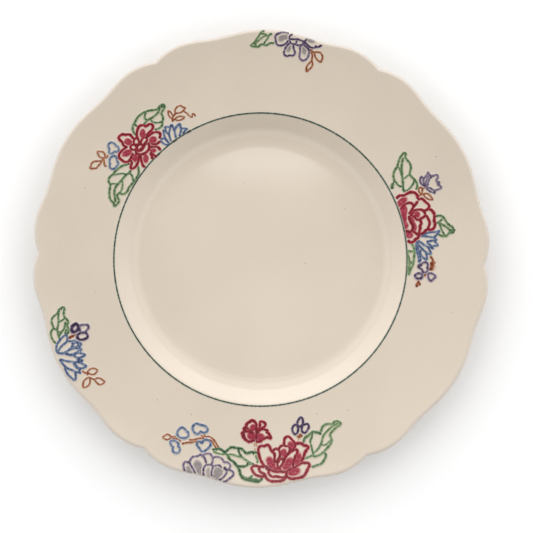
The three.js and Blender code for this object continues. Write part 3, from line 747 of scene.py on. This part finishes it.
def bottom_spray():
    s = Spray("bottom_spray", 0.15, -110.6)
    g, c, b, v, r = "green", "crimson", "blue", "violet", "rust"
    # branch and blossoms on the left
    s.loop(r, [(-54.2, 4.9), (-53.2, 6.1), (-51.7, 6.8), (-50.3, 6.2), (-49.3, 5.3), (-50.2, 4.3),
        (-51.6, 3.7), (-53, 4.1)], 1.2)
    s.draw(r, [(-49.3, 5.3), (-47.9, 5.5), (-46.5, 5.7)], 1.1, 0.7)
    s.draw(r, [(-48.9, 4.2), (-47.4, 4.4), (-45.6, 4.2), (-44.3, 3.3), (-43.5, 2.8)], 1.2)
    s.draw(r, [(-43.3, 1.5), (-41.4, 2.1), (-39.4, 2.4), (-37.6, 2.5), (-35.8, 3), (-33.6, 3.3),
        (-32.6, 3.2)], 1.4)
    s.draw(r, [(-39.2, 3.9), (-37, 4), (-34.8, 4.5), (-32.6, 5), (-30.6, 4.9), (-31.1, 5.9),
        (-32.3, 6.9)], 1.3)
    s.draw(r, [(-30.6, 7.4), (-29.4, 6.1), (-27.4, 6.1), (-25.6, 5.2), (-23.9, 3.4), (-22.5, 1.3),
        (-21.5, -0.3)], 1.2)
    s.draw(r, [(-27.4, 4.6), (-25.6, 3.3), (-24.3, 1.3), (-23, -0.5)], 1.2)
    s.loop(b, [(-43.5, 10.9), (-42, 10.4), (-41, 9.3), (-39.7, 8), (-39.5, 6.3), (-40.7, 5.1),
        (-42.5, 4.9), (-44.4, 5.2), (-45.8, 6.5), (-46, 8), (-45.1, 9.8)], 1.2, 0.75)
    s.loop(b, [(-34.9, 13.4), (-33.6, 13), (-31.6, 12.6), (-29.6, 11.9), (-28.4, 10.3), (-29.1, 8.7),
        (-31, 8.3), (-32.4, 8.9), (-33.2, 7.9), (-34.6, 7.4), (-36.1, 8.3), (-37, 9.8), (-37.1, 11.4),
        (-36.2, 12.8)], 1.2, 0.75)
    s.loop(b, [(-34.1, 2.7), (-32.7, 3.1), (-31.4, 2.2), (-30.9, 3.4), (-29.6, 4.2), (-28.2, 4.2),
        (-26.8, 3.4), (-26.3, 1.7), (-27, 0.2), (-28.4, -1.2), (-30, -2.4), (-31.6, -2.4), (-32.8, -0.8),
        (-34.2, 0.9)], 1.2, 0.85)
    s.loop(b, [(-49.9, 2.7), (-48.3, 3.3), (-46.4, 2.8), (-45.1, 1.5), (-45.2, 0.2), (-44.2, -1.2),
        (-44.5, -3), (-46, -3.8), (-47.6, -3.4), (-48.4, -1.9), (-48.1, -0.5), (-49.2, 0.5)], 1.2, 0.75)
    # violet flower at the edge
    s.draw(v, [(-40.8, -14.3), (-41.4, -12.4), (-41.8, -10.4), (-41, -8.8), (-39.6, -8.9), (-38.4, -9.2)],
        1.2, 0.75)
    s.draw(v, [(-38.3, -9.4), (-37.9, -7.6), (-36.8, -5.9), (-35.3, -5.5), (-33.6, -5.2), (-31.9, -4.4),
        (-30.8, -5.2), (-29.7, -6.1), (-29, -7.8), (-28.5, -9.4)], 1.2, 0.75)
    s.draw(v, [(-38.4, -9.2), (-37.3, -10.9), (-36.2, -12.5), (-35.2, -14.3), (-34.6, -15.2)], 1.1, 0.8)
    s.draw(v, [(-30.8, -5.2), (-29.8, -4.2), (-28, -3.6), (-26.3, -3.9), (-25.4, -5.2), (-24.9, -6.8),
        (-24.9, -8.4), (-25.8, -10)], 1.1, 0.65)
    s.draw(v, [(-28.8, -9.4), (-28.2, -10.1), (-27, -10), (-25.6, -10.1), (-24.5, -11)], 1.0, 0.8)
    s.draw(v, [(-28.7, -10), (-29.5, -11.1), (-30, -12.4), (-30.1, -14.6), (-29.7, -16.6)], 1.1, 0.8)
    s.draw(v, [(-24.9, -6.6), (-23.7, -5.5), (-21.6, -5.4), (-19.8, -6.1), (-18.8, -7.4), (-17.9, -8.4),
        (-16.6, -8.3), (-15.2, -9), (-14.5, -10.5), (-15.1, -11.9), (-16.3, -13.1)], 1.1, 0.7)
    s.draw(v, [(-25, -16.6), (-25.4, -14.6), (-24.9, -12.8), (-24.4, -11.1), (-22.5, -10.3), (-21, -10.2),
        (-19.8, -11.2), (-19.2, -11.6)], 1.1, 0.7)
    s.draw(v, [(-18.4, -11.1), (-17.4, -12), (-16.4, -13.1)], 1.5, 1.0)
    s.draw(v, [(-16.4, -13.1), (-16.8, -14.8), (-18, -16.6), (-19.6, -18), (-21.1, -18.7)], 1.1, 0.75)
    s.draw(v, [(-15.9, -12.6), (-14.3, -12.9), (-12.7, -14), (-12.5, -15.1), (-13.5, -16.6),
        (-15.4, -18.1), (-16.9, -19.2), (-18.5, -19.7)], 1.1, 0.8)
    s.wash("grey", (-38.3, -13.3), (2.6, 1.8), -25, 0.9)
    s.wash("grey", (-33.2, -12), (2.6, 4.2), 8, 0.95)
    s.wash("grey", (-26.8, -14.6), (1.6, 2.6), 0, 0.7)
    s.wash("grey", (-22.3, -15), (3.3, 3.6), -35, 0.95)
    # leaf on the left
    s.draw(g, [(-24.9, -1.9), (-24.6, -1.2), (-23.3, -0.9), (-21.3, -0.7), (-19.6, -1.5), (-18.2, -2.4),
        (-16.9, -1.8), (-15.6, -0.5), (-14, 0.4), (-12.3, 0.2), (-10.4, -0.1), (-8.6, -0.3), (-7.2, -1.3),
        (-5.6, -2.7), (-4, -2.5), (-2.5, -2), (-1, -2.2), (0.7, -2.3), (1.6, -3.3)], 1.25, 1.1)
    s.draw(g, [(-24.9, -2.2), (-23.4, -2.9), (-21.3, -3.6), (-19.4, -3.8), (-17.8, -3.5), (-16.3, -3.9),
        (-14.3, -3.7), (-12.5, -4), (-10.8, -4.6), (-9.2, -4.8), (-7.6, -5.3), (-6, -6.4), (-4.3, -7.3),
        (-2.8, -8.3), (-0.6, -9.2)], 1.1, 0.75)
    s.draw(g, [(-23.2, -1.9), (-22.7, -2.1)], 1.6, 1.0)
    s.draw(g, [(-18.2, -2.4), (-17.8, -3.4)], 1.5, 1.0)
    s.draw(g, [(-10.2, -0.6), (-9.7, -2.5), (-8.9, -3.9), (-8, -5.2)], 1, 1.1)
    s.draw(g, [(-16.4, -4), (-15.7, -5.3), (-14.9, -6.7), (-13.1, -7.6), (-11.9, -8.8), (-10.9, -10),
        (-9.8, -11.3), (-9, -13.1), (-8.4, -15.2), (-7.2, -16.8), (-5.4, -17.8), (-2.9, -18.3),
        (-0.6, -18.6), (1.8, -18.9), (3.2, -17.9), (4.4, -16.6)], 1.3, 1.1)
    s.draw(g, [(-7.8, -15.4), (-6.3, -16.6), (-4.5, -17.1), (-2.6, -16.5), (-1.3, -15.3)], 1.0, 0.8)
    s.draw(g, [(-4.2, -17.2), (-1.4, -17.6), (0.8, -17.9), (2, -18.2)], 1.2, 0.95)
    s.draw(g, [(-11.4, -9.8), (-9.6, -10.4), (-7.5, -10.5), (-5.8, -10.2), (-4.5, -9.2), (-4.5, -7.9)],
        1.2, 1.1)
    s.draw(g, [(-4.4, -9), (-2.6, -9.1), (-0.8, -9.3)], 0.9, 0.75)
    s.draw(g, [(0, -3.6), (0.8, -5.4), (1.3, -7), (1, -8.5)], 1.1, 0.65)
    s.draw(g, [(-1.7, -3), (-0.9, -3)], 1.8, 1.0)
    # small crimson bloom
    s.draw(c, [(-0.4, 4.9), (-1.6, 4.7), (-3, 4.1), (-4.4, 4), (-6, 4.8), (-7.3, 6.2), (-7.9, 7.6),
        (-8.4, 8.5), (-7.2, 9.4), (-6, 9.7), (-4.6, 9.6), (-3.2, 9.3), (-1.6, 8.8)], 1.1, 0.95)
    s.draw(c, [(-7.4, 8.8), (-7.1, 7.2), (-6.4, 5.6), (-5, 4.5)], 1.0, 0.95)
    s.draw(c, [(-5.6, 12.1), (-7.2, 11.4), (-6.7, 10.4), (-6.3, 9.7)], 1.3, 1.0)
    s.draw(c, [(-5.7, 12.2), (-5.9, 13.6), (-5.2, 14.6), (-3.9, 15.4), (-2.7, 16.2), (-1.4, 15.6),
        (-0.4, 14.4), (-0.1, 12.8), (-0.1, 11.1), (0, 10.2), (0.1, 8.5), (0.1, 6.8), (-0.1, 5)], 1.15,
        0.95)
    s.draw(c, [(-5.7, 12.2), (-4.9, 11.2), (-3.9, 10.4), (-2.6, 9.2)])
    s.draw(c, [(-3.8, 9.7), (-2.6, 9.2), (-1.6, 8.9)], 1.7, 1.0)
    s.draw(c, [(-0.1, 9.8), (0.9, 10.6), (1.7, 11.8), (2, 13.8), (1.9, 15.4), (2.9, 15.7), (4.3, 15.3),
        (5.2, 14.1), (4.7, 12.9), (3.4, 12), (2.1, 10.6), (1.2, 9.4), (0.3, 8.4)])
    s.draw(c, [(2.4, 10.9), (3.6, 11.4), (5.1, 11.1), (6.4, 10.6), (6.2, 9.7), (5.4, 9)])
    s.draw(c, [(6.3, 9.8), (7.2, 8.9), (8.2, 7.4), (8.5, 6.1), (7.1, 6.6), (5.8, 6.6), (4.6, 5.8),
        (3.3, 4.8), (2, 4.2), (0.6, 4.1), (-0.2, 4.8)], 1.1)
    for centre, radii, turn in [((-1.9, 12), (2.3, 2.5), 0), ((-2.6, 7.2), (3.2, 3), 0),
            ((2.3, 6.6), (3, 2.7), 20)]:
        s.wash("crimson_wash", centre, radii, turn, 0.95)
    for x, top, low in [(-0.8, 3.3, 1), (0.4, 3.2, 0.8), (-0.4, 0.4, -1.4)]:
        s.draw(r, [(x, top), (x + 0.05, low)], 1.2, 0.35)
    # peony
    s.draw(c, [(5.7, -10.4), (4.4, -8.7), (2.8, -6), (2, -3.6), (1.5, -1.1), (1.9, 0.9), (3.4, 1.7),
        (5, 1.6), (6.6, 2.4), (8, 1.4), (8.7, -0.3), (9.6, -1.5), (10.8, -2.4), (11.1, -4.2), (11, -6.2),
        (11.6, -8)], 1.05)
    s.draw(c, [(9.9, -1.4), (10.8, -0.1), (12.2, 0.3), (13.6, -0.6), (14.2, -2.3), (14, -4.4),
        (12.9, -6.3), (12, -8)])
    s.draw(c, [(13.3, 0), (14.4, 1.7), (16, 2.4), (17.7, 1.9), (19.3, 2.2), (19.6, 0.8), (19.8, -0.9),
        (18.5, -2.4), (17.3, -4.1), (16.2, -5.2), (14.5, -4.9)])
    s.draw(c, [(16.2, 2.4), (16.4, 4.4), (16.6, 6.2), (18, 7.5), (19.6, 7.1), (21, 5.6), (22.4, 4),
        (22.8, 2.1), (21.8, 0.4), (20.1, -1.2)])
    s.draw(c, [(22.9, 3), (24.2, 3.8), (26.2, 3.9), (27.8, 2.9), (29.7, 2.5), (30.6, 1.6), (29.6, 0.2),
        (28.6, -1.6), (28, -3.5), (27.3, -5.3), (26.2, -6.7)], 1.15)
    s.draw(c, [(22.9, 0.6), (24.3, -0.5), (24.2, -1.9), (23.2, -3.6), (22.5, -5.5), (22, -7.8),
        (21.9, -9.9)], 1.1)
    s.draw(c, [(22.7, 0.3), (21.5, -0.5), (20, -1.5), (18.5, -3.2), (17.3, -5.1), (16.4, -7),
        (15.3, -9.1), (14.1, -10.9)])
    s.draw(c, [(14, -11.1), (13, -9.5), (12.8, -8.1), (14.1, -6.2), (15.4, -5.3), (16.2, -5.6),
        (16.1, -7)], 0.9)
    s.draw(c, [(5.9, -9.6), (7.2, -10.6), (8.4, -11.5), (10.4, -12.4), (12.6, -12.9), (14.8, -12.6),
        (16.8, -12.8), (18.5, -12.5), (19.6, -11.4), (21.1, -10.4)], 1.1)
    s.draw(c, [(5.7, -10.4), (4.3, -10.2), (2.4, -10.3), (0.6, -9.8), (-1, -10), (-2.2, -11.2),
        (-1.6, -12.5), (-0.6, -14), (0.8, -15.2), (2.6, -15.7), (4.4, -15.9), (5.8, -15)])
    s.draw(c, [(2.5, -10.6), (2.3, -11.8), (3.1, -13.2), (4.5, -14), (5.8, -14.7), (6.4, -16.3),
        (7.8, -17.7), (9.8, -18.4), (12.2, -18.4), (14.5, -18.2), (16.6, -17.4), (18, -16.1),
        (18.2, -14.6), (18.4, -13)], 1.05)
    s.draw(c, [(8.3, -12), (7.9, -13.8), (8.8, -15), (10.4, -15.9), (12.4, -15.6), (14.4, -15.9),
        (16.4, -16.1), (17.9, -15.5)], 0.95)
    s.draw(c, [(5.9, -10.5), (7, -11.6), (8.2, -12.3)], 0.9)
    s.draw(c, [(18.2, -14.6), (19.4, -15.9), (21.2, -16.6), (23.1, -16.4), (25.4, -16), (28, -15),
        (29.3, -13.4), (30.2, -11.6), (30.8, -10.1), (31.6, -8.6), (30.8, -7.4), (28.8, -7.2),
        (26.8, -7.4), (25.4, -8.5), (24, -9.3), (22.3, -10.2)], 1.1)
    for centre, radii, turn in [((9, -8), (2.6, 4.4), 25), ((12.6, -11.4), (3.4, 1.5), 0),
            ((16.3, -2), (2.1, 2.9), 0), ((20.3, 2.2), (2.2, 3), 15), ((18.9, -8.3), (2.6, 5), -35),
            ((24.7, -5.6), (2.1, 4.4), -18), ((22, -12.5), (4.4, 3.1), 10)]:
        s.wash("crimson_wash", centre, radii, turn, 0.85)
    s.draw(c, [(21.8, -10.2), (22.6, -10.4)], 1.6, 1.0)
    # violet blossoms and calyx
    s.loop(v, [(24, 14.3), (23.8, 16), (24.7, 17.9), (25.8, 19), (26.8, 17.6), (27, 15.8), (26.4, 14.2),
        (25.2, 13.4)], 1.2, 0.95)
    s.loop(v, [(22.9, 14.5), (21.6, 13.8), (20.9, 12.2), (21.3, 10.4), (22.5, 8.9), (23.7, 9.7),
        (24.3, 11.4), (24, 13.3)], 1.2, 0.95)
    s.loop(v, [(27, 14.2), (28.2, 14.9), (29.7, 15.1), (30.5, 13.6), (29.7, 11.6), (28.4, 10),
        (26.8, 10.6), (26.4, 12.4)], 1.2, 0.95)
    s.draw(v, [(25.2, 13.6), (26.4, 13.6)], 1.8, 1.0)
    s.draw(r, [(23.7, 8.3), (25, 7.3), (27, 8.8)], 1.6)
    s.draw(r, [(25.8, 9.6), (25.5, 8.4), (25, 7.3)], 1.6)
    s.draw(r, [(24.8, 6.7), (24.7, 4.5)], 1.0, 0.3)
    # leaf on the right
    s.draw(g, [(27.7, 4.1), (27.9, 5.8), (28.6, 7.2), (30.2, 8.3), (31.4, 9.4), (32.8, 10.6),
        (34.7, 10.5), (36.5, 10.2), (38, 9.3)], 1.3)
    s.draw(g, [(37.4, 10.3), (37.9, 12.2), (38.6, 13.9), (40.2, 15.2), (42, 15.6), (43.8, 15.5),
        (44.6, 16), (45.6, 17), (47.2, 17.3), (48.6, 16.6), (48.6, 15.3), (47.2, 14.3), (45.6, 12.9),
        (44.2, 11.3), (43, 9.5), (43.6, 7.6), (44, 5.8), (43.2, 3.8), (41.8, 2), (40.2, 0.2),
        (38.6, -1.4), (36.8, -2.6), (34.8, -3.3), (32.8, -3), (31, -3.8), (29.6, -4.4), (28.5, -5)], 1.2,
        0.75)
    s.draw(g, [(40.2, -0.9), (40.9, -2.7), (40.1, -4.9), (38.4, -7.3), (35.6, -8.5), (33.8, -9.2),
        (32.5, -9.6)], 1.2, 0.85)
    s.draw(g, [(33.6, -3), (33.6, -1.5), (35.5, 0.1), (36.9, 2), (38.2, 4.9), (38.6, 7), (39.2, 8.8),
        (41, 11.1), (42.8, 13), (44.6, 14.6), (46.4, 15.6), (47.6, 16.2)], 1.1, 0.75)
    s.draw(g, [(33.3, -1.5), (32.5, 1.6), (31.8, 3.8), (31.6, 5.6), (32.4, 7.6), (32.6, 9.7)])
    s.draw(g, [(38, 3.5), (39.5, 3.3), (41.1, 3.8), (42.2, 5.1), (43.3, 6)], 0.9, 0.7)
    s.draw(g, [(32.7, 10), (33.2, 9.7)], 1.6, 1.0)
    return s


def glaze_specks():
    """Tiny kiln specks in the glaze."""
    s = Spray("glaze_specks", 0, 0)
    for x, y, size in [(99.7, 62.5, 0.35), (53, -86.6, 0.3), (35, -89.5, 0.32), (-14.6, 135, 0.3),
            (25.8, -1.7, 0.28), (-61, 71, 0.25), (-104, 38, 0.3), (-92, 62, 0.25), (-38, -92, 0.3),
            (-58, -84, 0.3), (112, -28, 0.25), (-12, 44, 0.2), (48, 31, 0.2), (-96, -22, 0.25)]:
        s.wash("grey", (x, y), (size, size), 0, 0.7)
    return s


RING_STRENGTH = 0.9
RING_SEED = 3
OVERLAPS = [(119.9, 122.0), (126.5, 128.5), (135.0, 136.6)]  # darker places, in degrees round the ring
OVERLAP_WIDTH = 1.3 * RING_WIDTH
OVERLAP_STRENGTH = 1.4


def on_ring(angles):
    return RING_CENTRE + RING_RADIUS * np.stack([np.cos(angles), np.sin(angles)], 1)


def green_ring(enamel):
    """The ring, with short overlaps where the brush came down twice."""
    ring = Layer()
    whole = 2 * math.pi * np.arange(60) / 60
    ring.stroke(on_ring(whole), RING_WIDTH, RING_STRENGTH, True, RING_SEED, LIFT["green"])
    for start, end in OVERLAPS:
        part = np.radians(np.linspace(start, end, 4))
        ring.stroke(on_ring(part), OVERLAP_WIDTH, OVERLAP_STRENGTH, False, start, LIFT["crimson"])
    new_piece("green_ring", ring.verts, ring.faces, enamel, {"tone": ring.tone})


# ---------------------------------------------------------------- materials
GLAZE = (0.65, 0.562, 0.46)
RIM_SHADE = 0.95  # the colour is made a little darker on the rim
RIM_GLAZE = tuple(RIM_SHADE * v for v in GLAZE)
# Greyer colour at the lip: painted light and shade on the rounded lip.
LIP_SHADING_COLOUR = (0.61, 0.54, 0.465)
BARE_CLAY = (0.5, 0.38, 0.26)
GLOSS_ROUGHNESS = 0.09
GLAZE_IOR = 1.6
ENAMELS = {  # pale, full and darkest colour of each enamel
    "green": ((0.19, 0.27, 0.13), (0.03, 0.085, 0.03), (0.012, 0.042, 0.016)),
    "ring": ((0.15, 0.2, 0.15), (0.018, 0.042, 0.028), (0.01, 0.025, 0.018)),
    "crimson": ((0.37, 0.035, 0.055), (0.21, 0.001, 0.012), (0.12, 0.001, 0.008)),
    "crimson_wash": ((0.5, 0.24, 0.21), (0.33, 0.03, 0.058), (0.24, 0.012, 0.035)),
    "blue": ((0.22, 0.26, 0.33), (0.04, 0.07, 0.16), (0.02, 0.035, 0.09)),
    "violet": ((0.23, 0.18, 0.25), (0.03, 0.016, 0.055), (0.012, 0.004, 0.02)),
    "grey": ((0.42, 0.37, 0.33), (0.28, 0.25, 0.235), (0.22, 0.19, 0.19)),
    "rust": ((0.39, 0.19, 0.1), (0.2, 0.042, 0.012), (0.12, 0.02, 0.005)),
}


class Nodes:
    """Small helper to build a node material."""

    def __init__(self, name):
        self.material = bpy.data.materials.new(name)
        self.material.use_nodes = True
        self.tree = self.material.node_tree
        self.shader = self.tree.nodes["Principled BSDF"]
        self.coords = self.tree.nodes.new("ShaderNodeTexCoord").outputs["Object"]

    def add(self, kind, **settings):
        node = self.tree.nodes.new("ShaderNode" + kind)
        for key, value in settings.items():
            setattr(node, key, value)
        return node

    def link(self, source, target):
        self.tree.links.new(source, target)

    def noise(self, scale, detail):
        node = self.add("TexNoise")
        node.inputs["Scale"].default_value = scale
        node.inputs["Detail"].default_value = detail
        self.link(self.coords, node.inputs["Vector"])
        return node.outputs["Fac"]

    def ramp(self, source, stops):
        node = self.add("ValToRGB")
        ramp = node.color_ramp
        while len(ramp.elements) < len(stops):
            ramp.elements.new(0.5)
        for element, (place, colour) in zip(ramp.elements, stops):
            element.position = place
            element.color = (*colour, 1)
        self.link(source, node.inputs["Fac"])
        return node.outputs["Color"]

    def mix(self, amount, a, b):
        node = self.add("Mix", data_type="RGBA")
        self.link(amount, node.inputs["Factor"])
        for value, socket in ((a, node.inputs["A"]), (b, node.inputs["B"])):
            if isinstance(value, tuple):
                socket.default_value = (*value, 1)
            else:
                self.link(value, socket)
        return node.outputs["Result"]

    def multiply(self, a, b):
        node = self.add("Mix", data_type="RGBA", blend_type="MULTIPLY")
        node.inputs["Factor"].default_value = 1.0
        self.link(a, node.inputs["A"])
        self.link(b, node.inputs["B"])
        return node.outputs["Result"]

    def attribute(self, name):
        return self.add("Attribute", attribute_name=name).outputs["Fac"]

    def bump(self, layers):
        last = None
        for height, strength, distance in layers:
            node = self.add("Bump")
            node.inputs["Strength"].default_value = strength
            node.inputs["Distance"].default_value = distance
            self.link(height, node.inputs["Height"])
            if last is not None:
                self.link(last, node.inputs["Normal"])
            last = node.outputs["Normal"]
        self.link(last, self.shader.inputs["Normal"])


def glaze_colour(n):
    """Cream tin glaze: faintly mottled, with a fine grain."""
    darker, lighter = (tuple(share * v for v in GLAZE) for share in (0.97, 1.03))
    broad = n.ramp(n.noise(14, 3), [(0.35, darker), (0.65, lighter)])
    grain = n.ramp(n.noise(900, 2), [(0.3, (0.985, 0.985, 0.985)), (0.62, (1.01, 1.01, 1.01))])
    return n.multiply(broad, grain)


def glossy(n):
    """Fired gloss, very slightly wavy and pitted."""
    n.shader.inputs["Roughness"].default_value = GLOSS_ROUGHNESS
    n.shader.inputs["IOR"].default_value = GLAZE_IOR
    n.bump([(n.noise(45, 1), 0.25, 0.0001), (n.noise(500, 1), 0.12, 0.00001)])


def glaze_material():
    """Glaze, a little darker on the rim and greyer at the edge, where light and shade on the rounded lip are
    painted in, and bare clay on the standing face.
    """
    n = Nodes("cream_glaze")
    glaze = glaze_colour(n)
    rim = n.add("Mix", data_type="RGBA", blend_type="MULTIPLY")
    n.link(n.attribute("rim"), rim.inputs["Factor"])
    n.link(glaze, rim.inputs["A"])
    rim.inputs["B"].default_value = (RIM_SHADE, RIM_SHADE, RIM_SHADE, 1)
    # The greyer lip colour is painted light and shade on the rounded lip.
    edge = n.mix(n.attribute("edge"), rim.outputs["Result"], LIP_SHADING_COLOUR)
    n.link(n.mix(n.attribute("bare"), edge, BARE_CLAY), n.shader.inputs["Base Color"])
    glossy(n)
    bare = n.add("MapRange")
    n.link(n.attribute("bare"), bare.inputs["Value"])
    bare.inputs["To Min"].default_value = 0.12
    bare.inputs["To Max"].default_value = 0.75
    n.link(bare.outputs["Result"], n.shader.inputs["Roughness"])
    return n.material


def enamel_material(colour):
    """Painted enamel: more paint is darker, and a fine grain breaks it up."""
    n = Nodes(f"{colour}_enamel")
    pale, full, dark = ENAMELS[colour]
    stops = [(0.0, RIM_GLAZE), (0.38, pale), (0.78, full), (1.0, dark)]
    grain = n.add("MapRange")
    n.link(n.noise(1100, 2), grain.inputs["Value"])
    for key, value in {"From Min": 0.3, "From Max": 0.7, "To Min": 0.78, "To Max": 1.2}.items():
        grain.inputs[key].default_value = value
    tone = n.add("Math", operation="MULTIPLY")
    n.link(n.attribute("tone"), tone.inputs[0])
    n.link(grain.outputs["Result"], tone.inputs[1])
    n.link(n.ramp(tone.outputs[0], stops), n.shader.inputs["Base Color"])
    glossy(n)
    return n.material


# ---------------------------------------------------------------- build
verts, faces, attributes = plate_mesh()
body = new_piece("plate", verts, faces, glaze_material(), attributes)
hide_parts("plate_body")

enamels = {colour: enamel_material(colour) for colour in ENAMELS}
green_ring(enamels["ring"])
sprays = [top_spray(), upper_left_spray(), right_spray(), lower_left_spray(), bottom_spray()]
for spray in [*sprays, glaze_specks()]:
    spray.finish(enamels)


# ---------------------------------------------------------------- stage, light and camera, in metres
FLOOR_HALF = 3.0
FLOOR_WHITE = (0.95, 0.95, 0.95, 1)

# Brightness of the studio by the sine of the height above the horizon, and towards one side.
DOME = [(0, 0.65), (0.35, 0.9), (0.5, 1.25), (0.75, 1.5), (0.88, 0.95), (0.96, 0.4)]
GLOW_BAND = [(0.1, 0), (0.17, 1), (0.29, 1), (0.37, 0)]
GLOW = 0.8
GLOW_SIDE = (0.09, 1.0, 0)
DOME_SLANT = (-0.04, 0.5, 0)

STRIP_HEIGHT = 0.6
STRIP_FORWARD = 0.084

CAMERA_HEIGHT = 1.5
EDGE_HEIGHT = 0.0235
FRAME_WIDTH = 0.3097
SENSOR_WIDTH = 36
ROLL = math.radians(1.75)
CAMERA_ACROSS = 0.0030
CAMERA_UP = -0.0045


def pale_floor():
    mesh = bpy.data.meshes.new("floor")
    corners = [(-1, -1), (1, -1), (1, 1), (-1, 1)]
    mesh.from_pydata([(x * FLOOR_HALF, y * FLOOR_HALF, 0) for x, y in corners], [], [(0, 1, 2, 3)])
    n = Nodes("floor_paint")
    n.shader.inputs["Base Color"].default_value = FLOOR_WHITE
    n.shader.inputs["Roughness"].default_value = 0.9
    n.shader.inputs["Specular IOR Level"].default_value = 0.1
    mesh.materials.append(n.material)
    floor = bpy.data.objects.new("floor", mesh)
    bpy.context.scene.collection.objects.link(floor)


def area_light(name, place, aim, size, power):
    light = bpy.data.lights.new(name, "AREA")
    light.shape = "RECTANGLE"
    light.size, light.size_y = size
    light.energy = power
    lamp = bpy.data.objects.new(name, light)
    lamp.location = place
    lamp.rotation_euler = (Vector(aim) - Vector(place)).to_track_quat("-Z", "Y").to_euler()
    lamp.visible_camera = False
    bpy.context.scene.collection.objects.link(lamp)


def sky_node(sky, kind, operation, a, b):
    node = sky.nodes.new("ShaderNode" + kind)
    node.operation = operation
    for socket, value in zip(node.inputs, (a, b)):
        if isinstance(value, bpy.types.NodeSocket):
            sky.links.new(value, socket)
        else:
            socket.default_value = value
    return node.outputs["Value"]


def sky_levels(sky, height, stops):
    node = sky.nodes.new("ShaderNodeValToRGB")
    ramp = node.color_ramp
    for _ in stops[2:]:
        ramp.elements.new(0.5)
    for element, (place, level) in zip(ramp.elements, stops):
        element.position = place
        element.color = (level, level, level, 1)
    sky.links.new(height, node.inputs["Fac"])
    return node.outputs["Color"]


def studio_world():
    """A soft white dome, brighter towards +Y, with a band of glow low on that side."""
    world = bpy.data.worlds.new("studio")
    world.use_nodes = True
    sky = world.node_tree
    direction = sky.nodes.new("ShaderNodeTexCoord").outputs["Generated"]
    split = sky.nodes.new("ShaderNodeSeparateXYZ")
    sky.links.new(direction, split.inputs[0])
    side = sky_node(sky, "Math", "ADD", 1.0, sky_node(sky, "VectorMath", "DOT_PRODUCT", direction, GLOW_SIDE))
    band = sky_levels(sky, split.outputs["Z"], GLOW_BAND)
    glow = sky_node(sky, "Math", "MULTIPLY", GLOW, sky_node(sky, "Math", "MULTIPLY", side, band))
    dome = sky_levels(sky, split.outputs["Z"], DOME)
    slant = sky_node(sky, "VectorMath", "DOT_PRODUCT", direction, DOME_SLANT)
    level = sky_node(sky, "Math", "ADD", sky_node(sky, "Math", "ADD", dome, slant), glow)
    sky.links.new(level, sky.nodes["Background"].inputs["Strength"])
    sky.nodes["Background"].inputs["Color"].default_value = (1, 1, 1, 1)
    return world


def camera_above():
    lens = bpy.data.cameras.new("camera")
    lens.sensor_width = SENSOR_WIDTH
    lens.lens = SENSOR_WIDTH * (CAMERA_HEIGHT - EDGE_HEIGHT) / FRAME_WIDTH
    camera = bpy.data.objects.new("camera", lens)
    x = CAMERA_ACROSS * math.cos(ROLL) - CAMERA_UP * math.sin(ROLL)
    y = CAMERA_ACROSS * math.sin(ROLL) + CAMERA_UP * math.cos(ROLL)
    camera.location = (x, y, CAMERA_HEIGHT)
    camera.rotation_euler = (0, 0, ROLL)
    bpy.context.scene.collection.objects.link(camera)
    return camera


pale_floor()
scene = bpy.context.scene
scene.view_settings.view_transform = "Standard"
scene.world = studio_world()
area_light("key", (-0.06, 0.62, 0.185), (-0.02, 0, 0.1), (1.0, 0.12), 0.15)
# The strip aims so far below that it faces almost straight down.
STRIP_AIM = (0.001, 0, STRIP_HEIGHT - STRIP_FORWARD * 1e4)
area_light("strip", (0.001, STRIP_FORWARD, STRIP_HEIGHT), STRIP_AIM, (0.112, 0.024), 0.03)
scene.camera = camera_above()
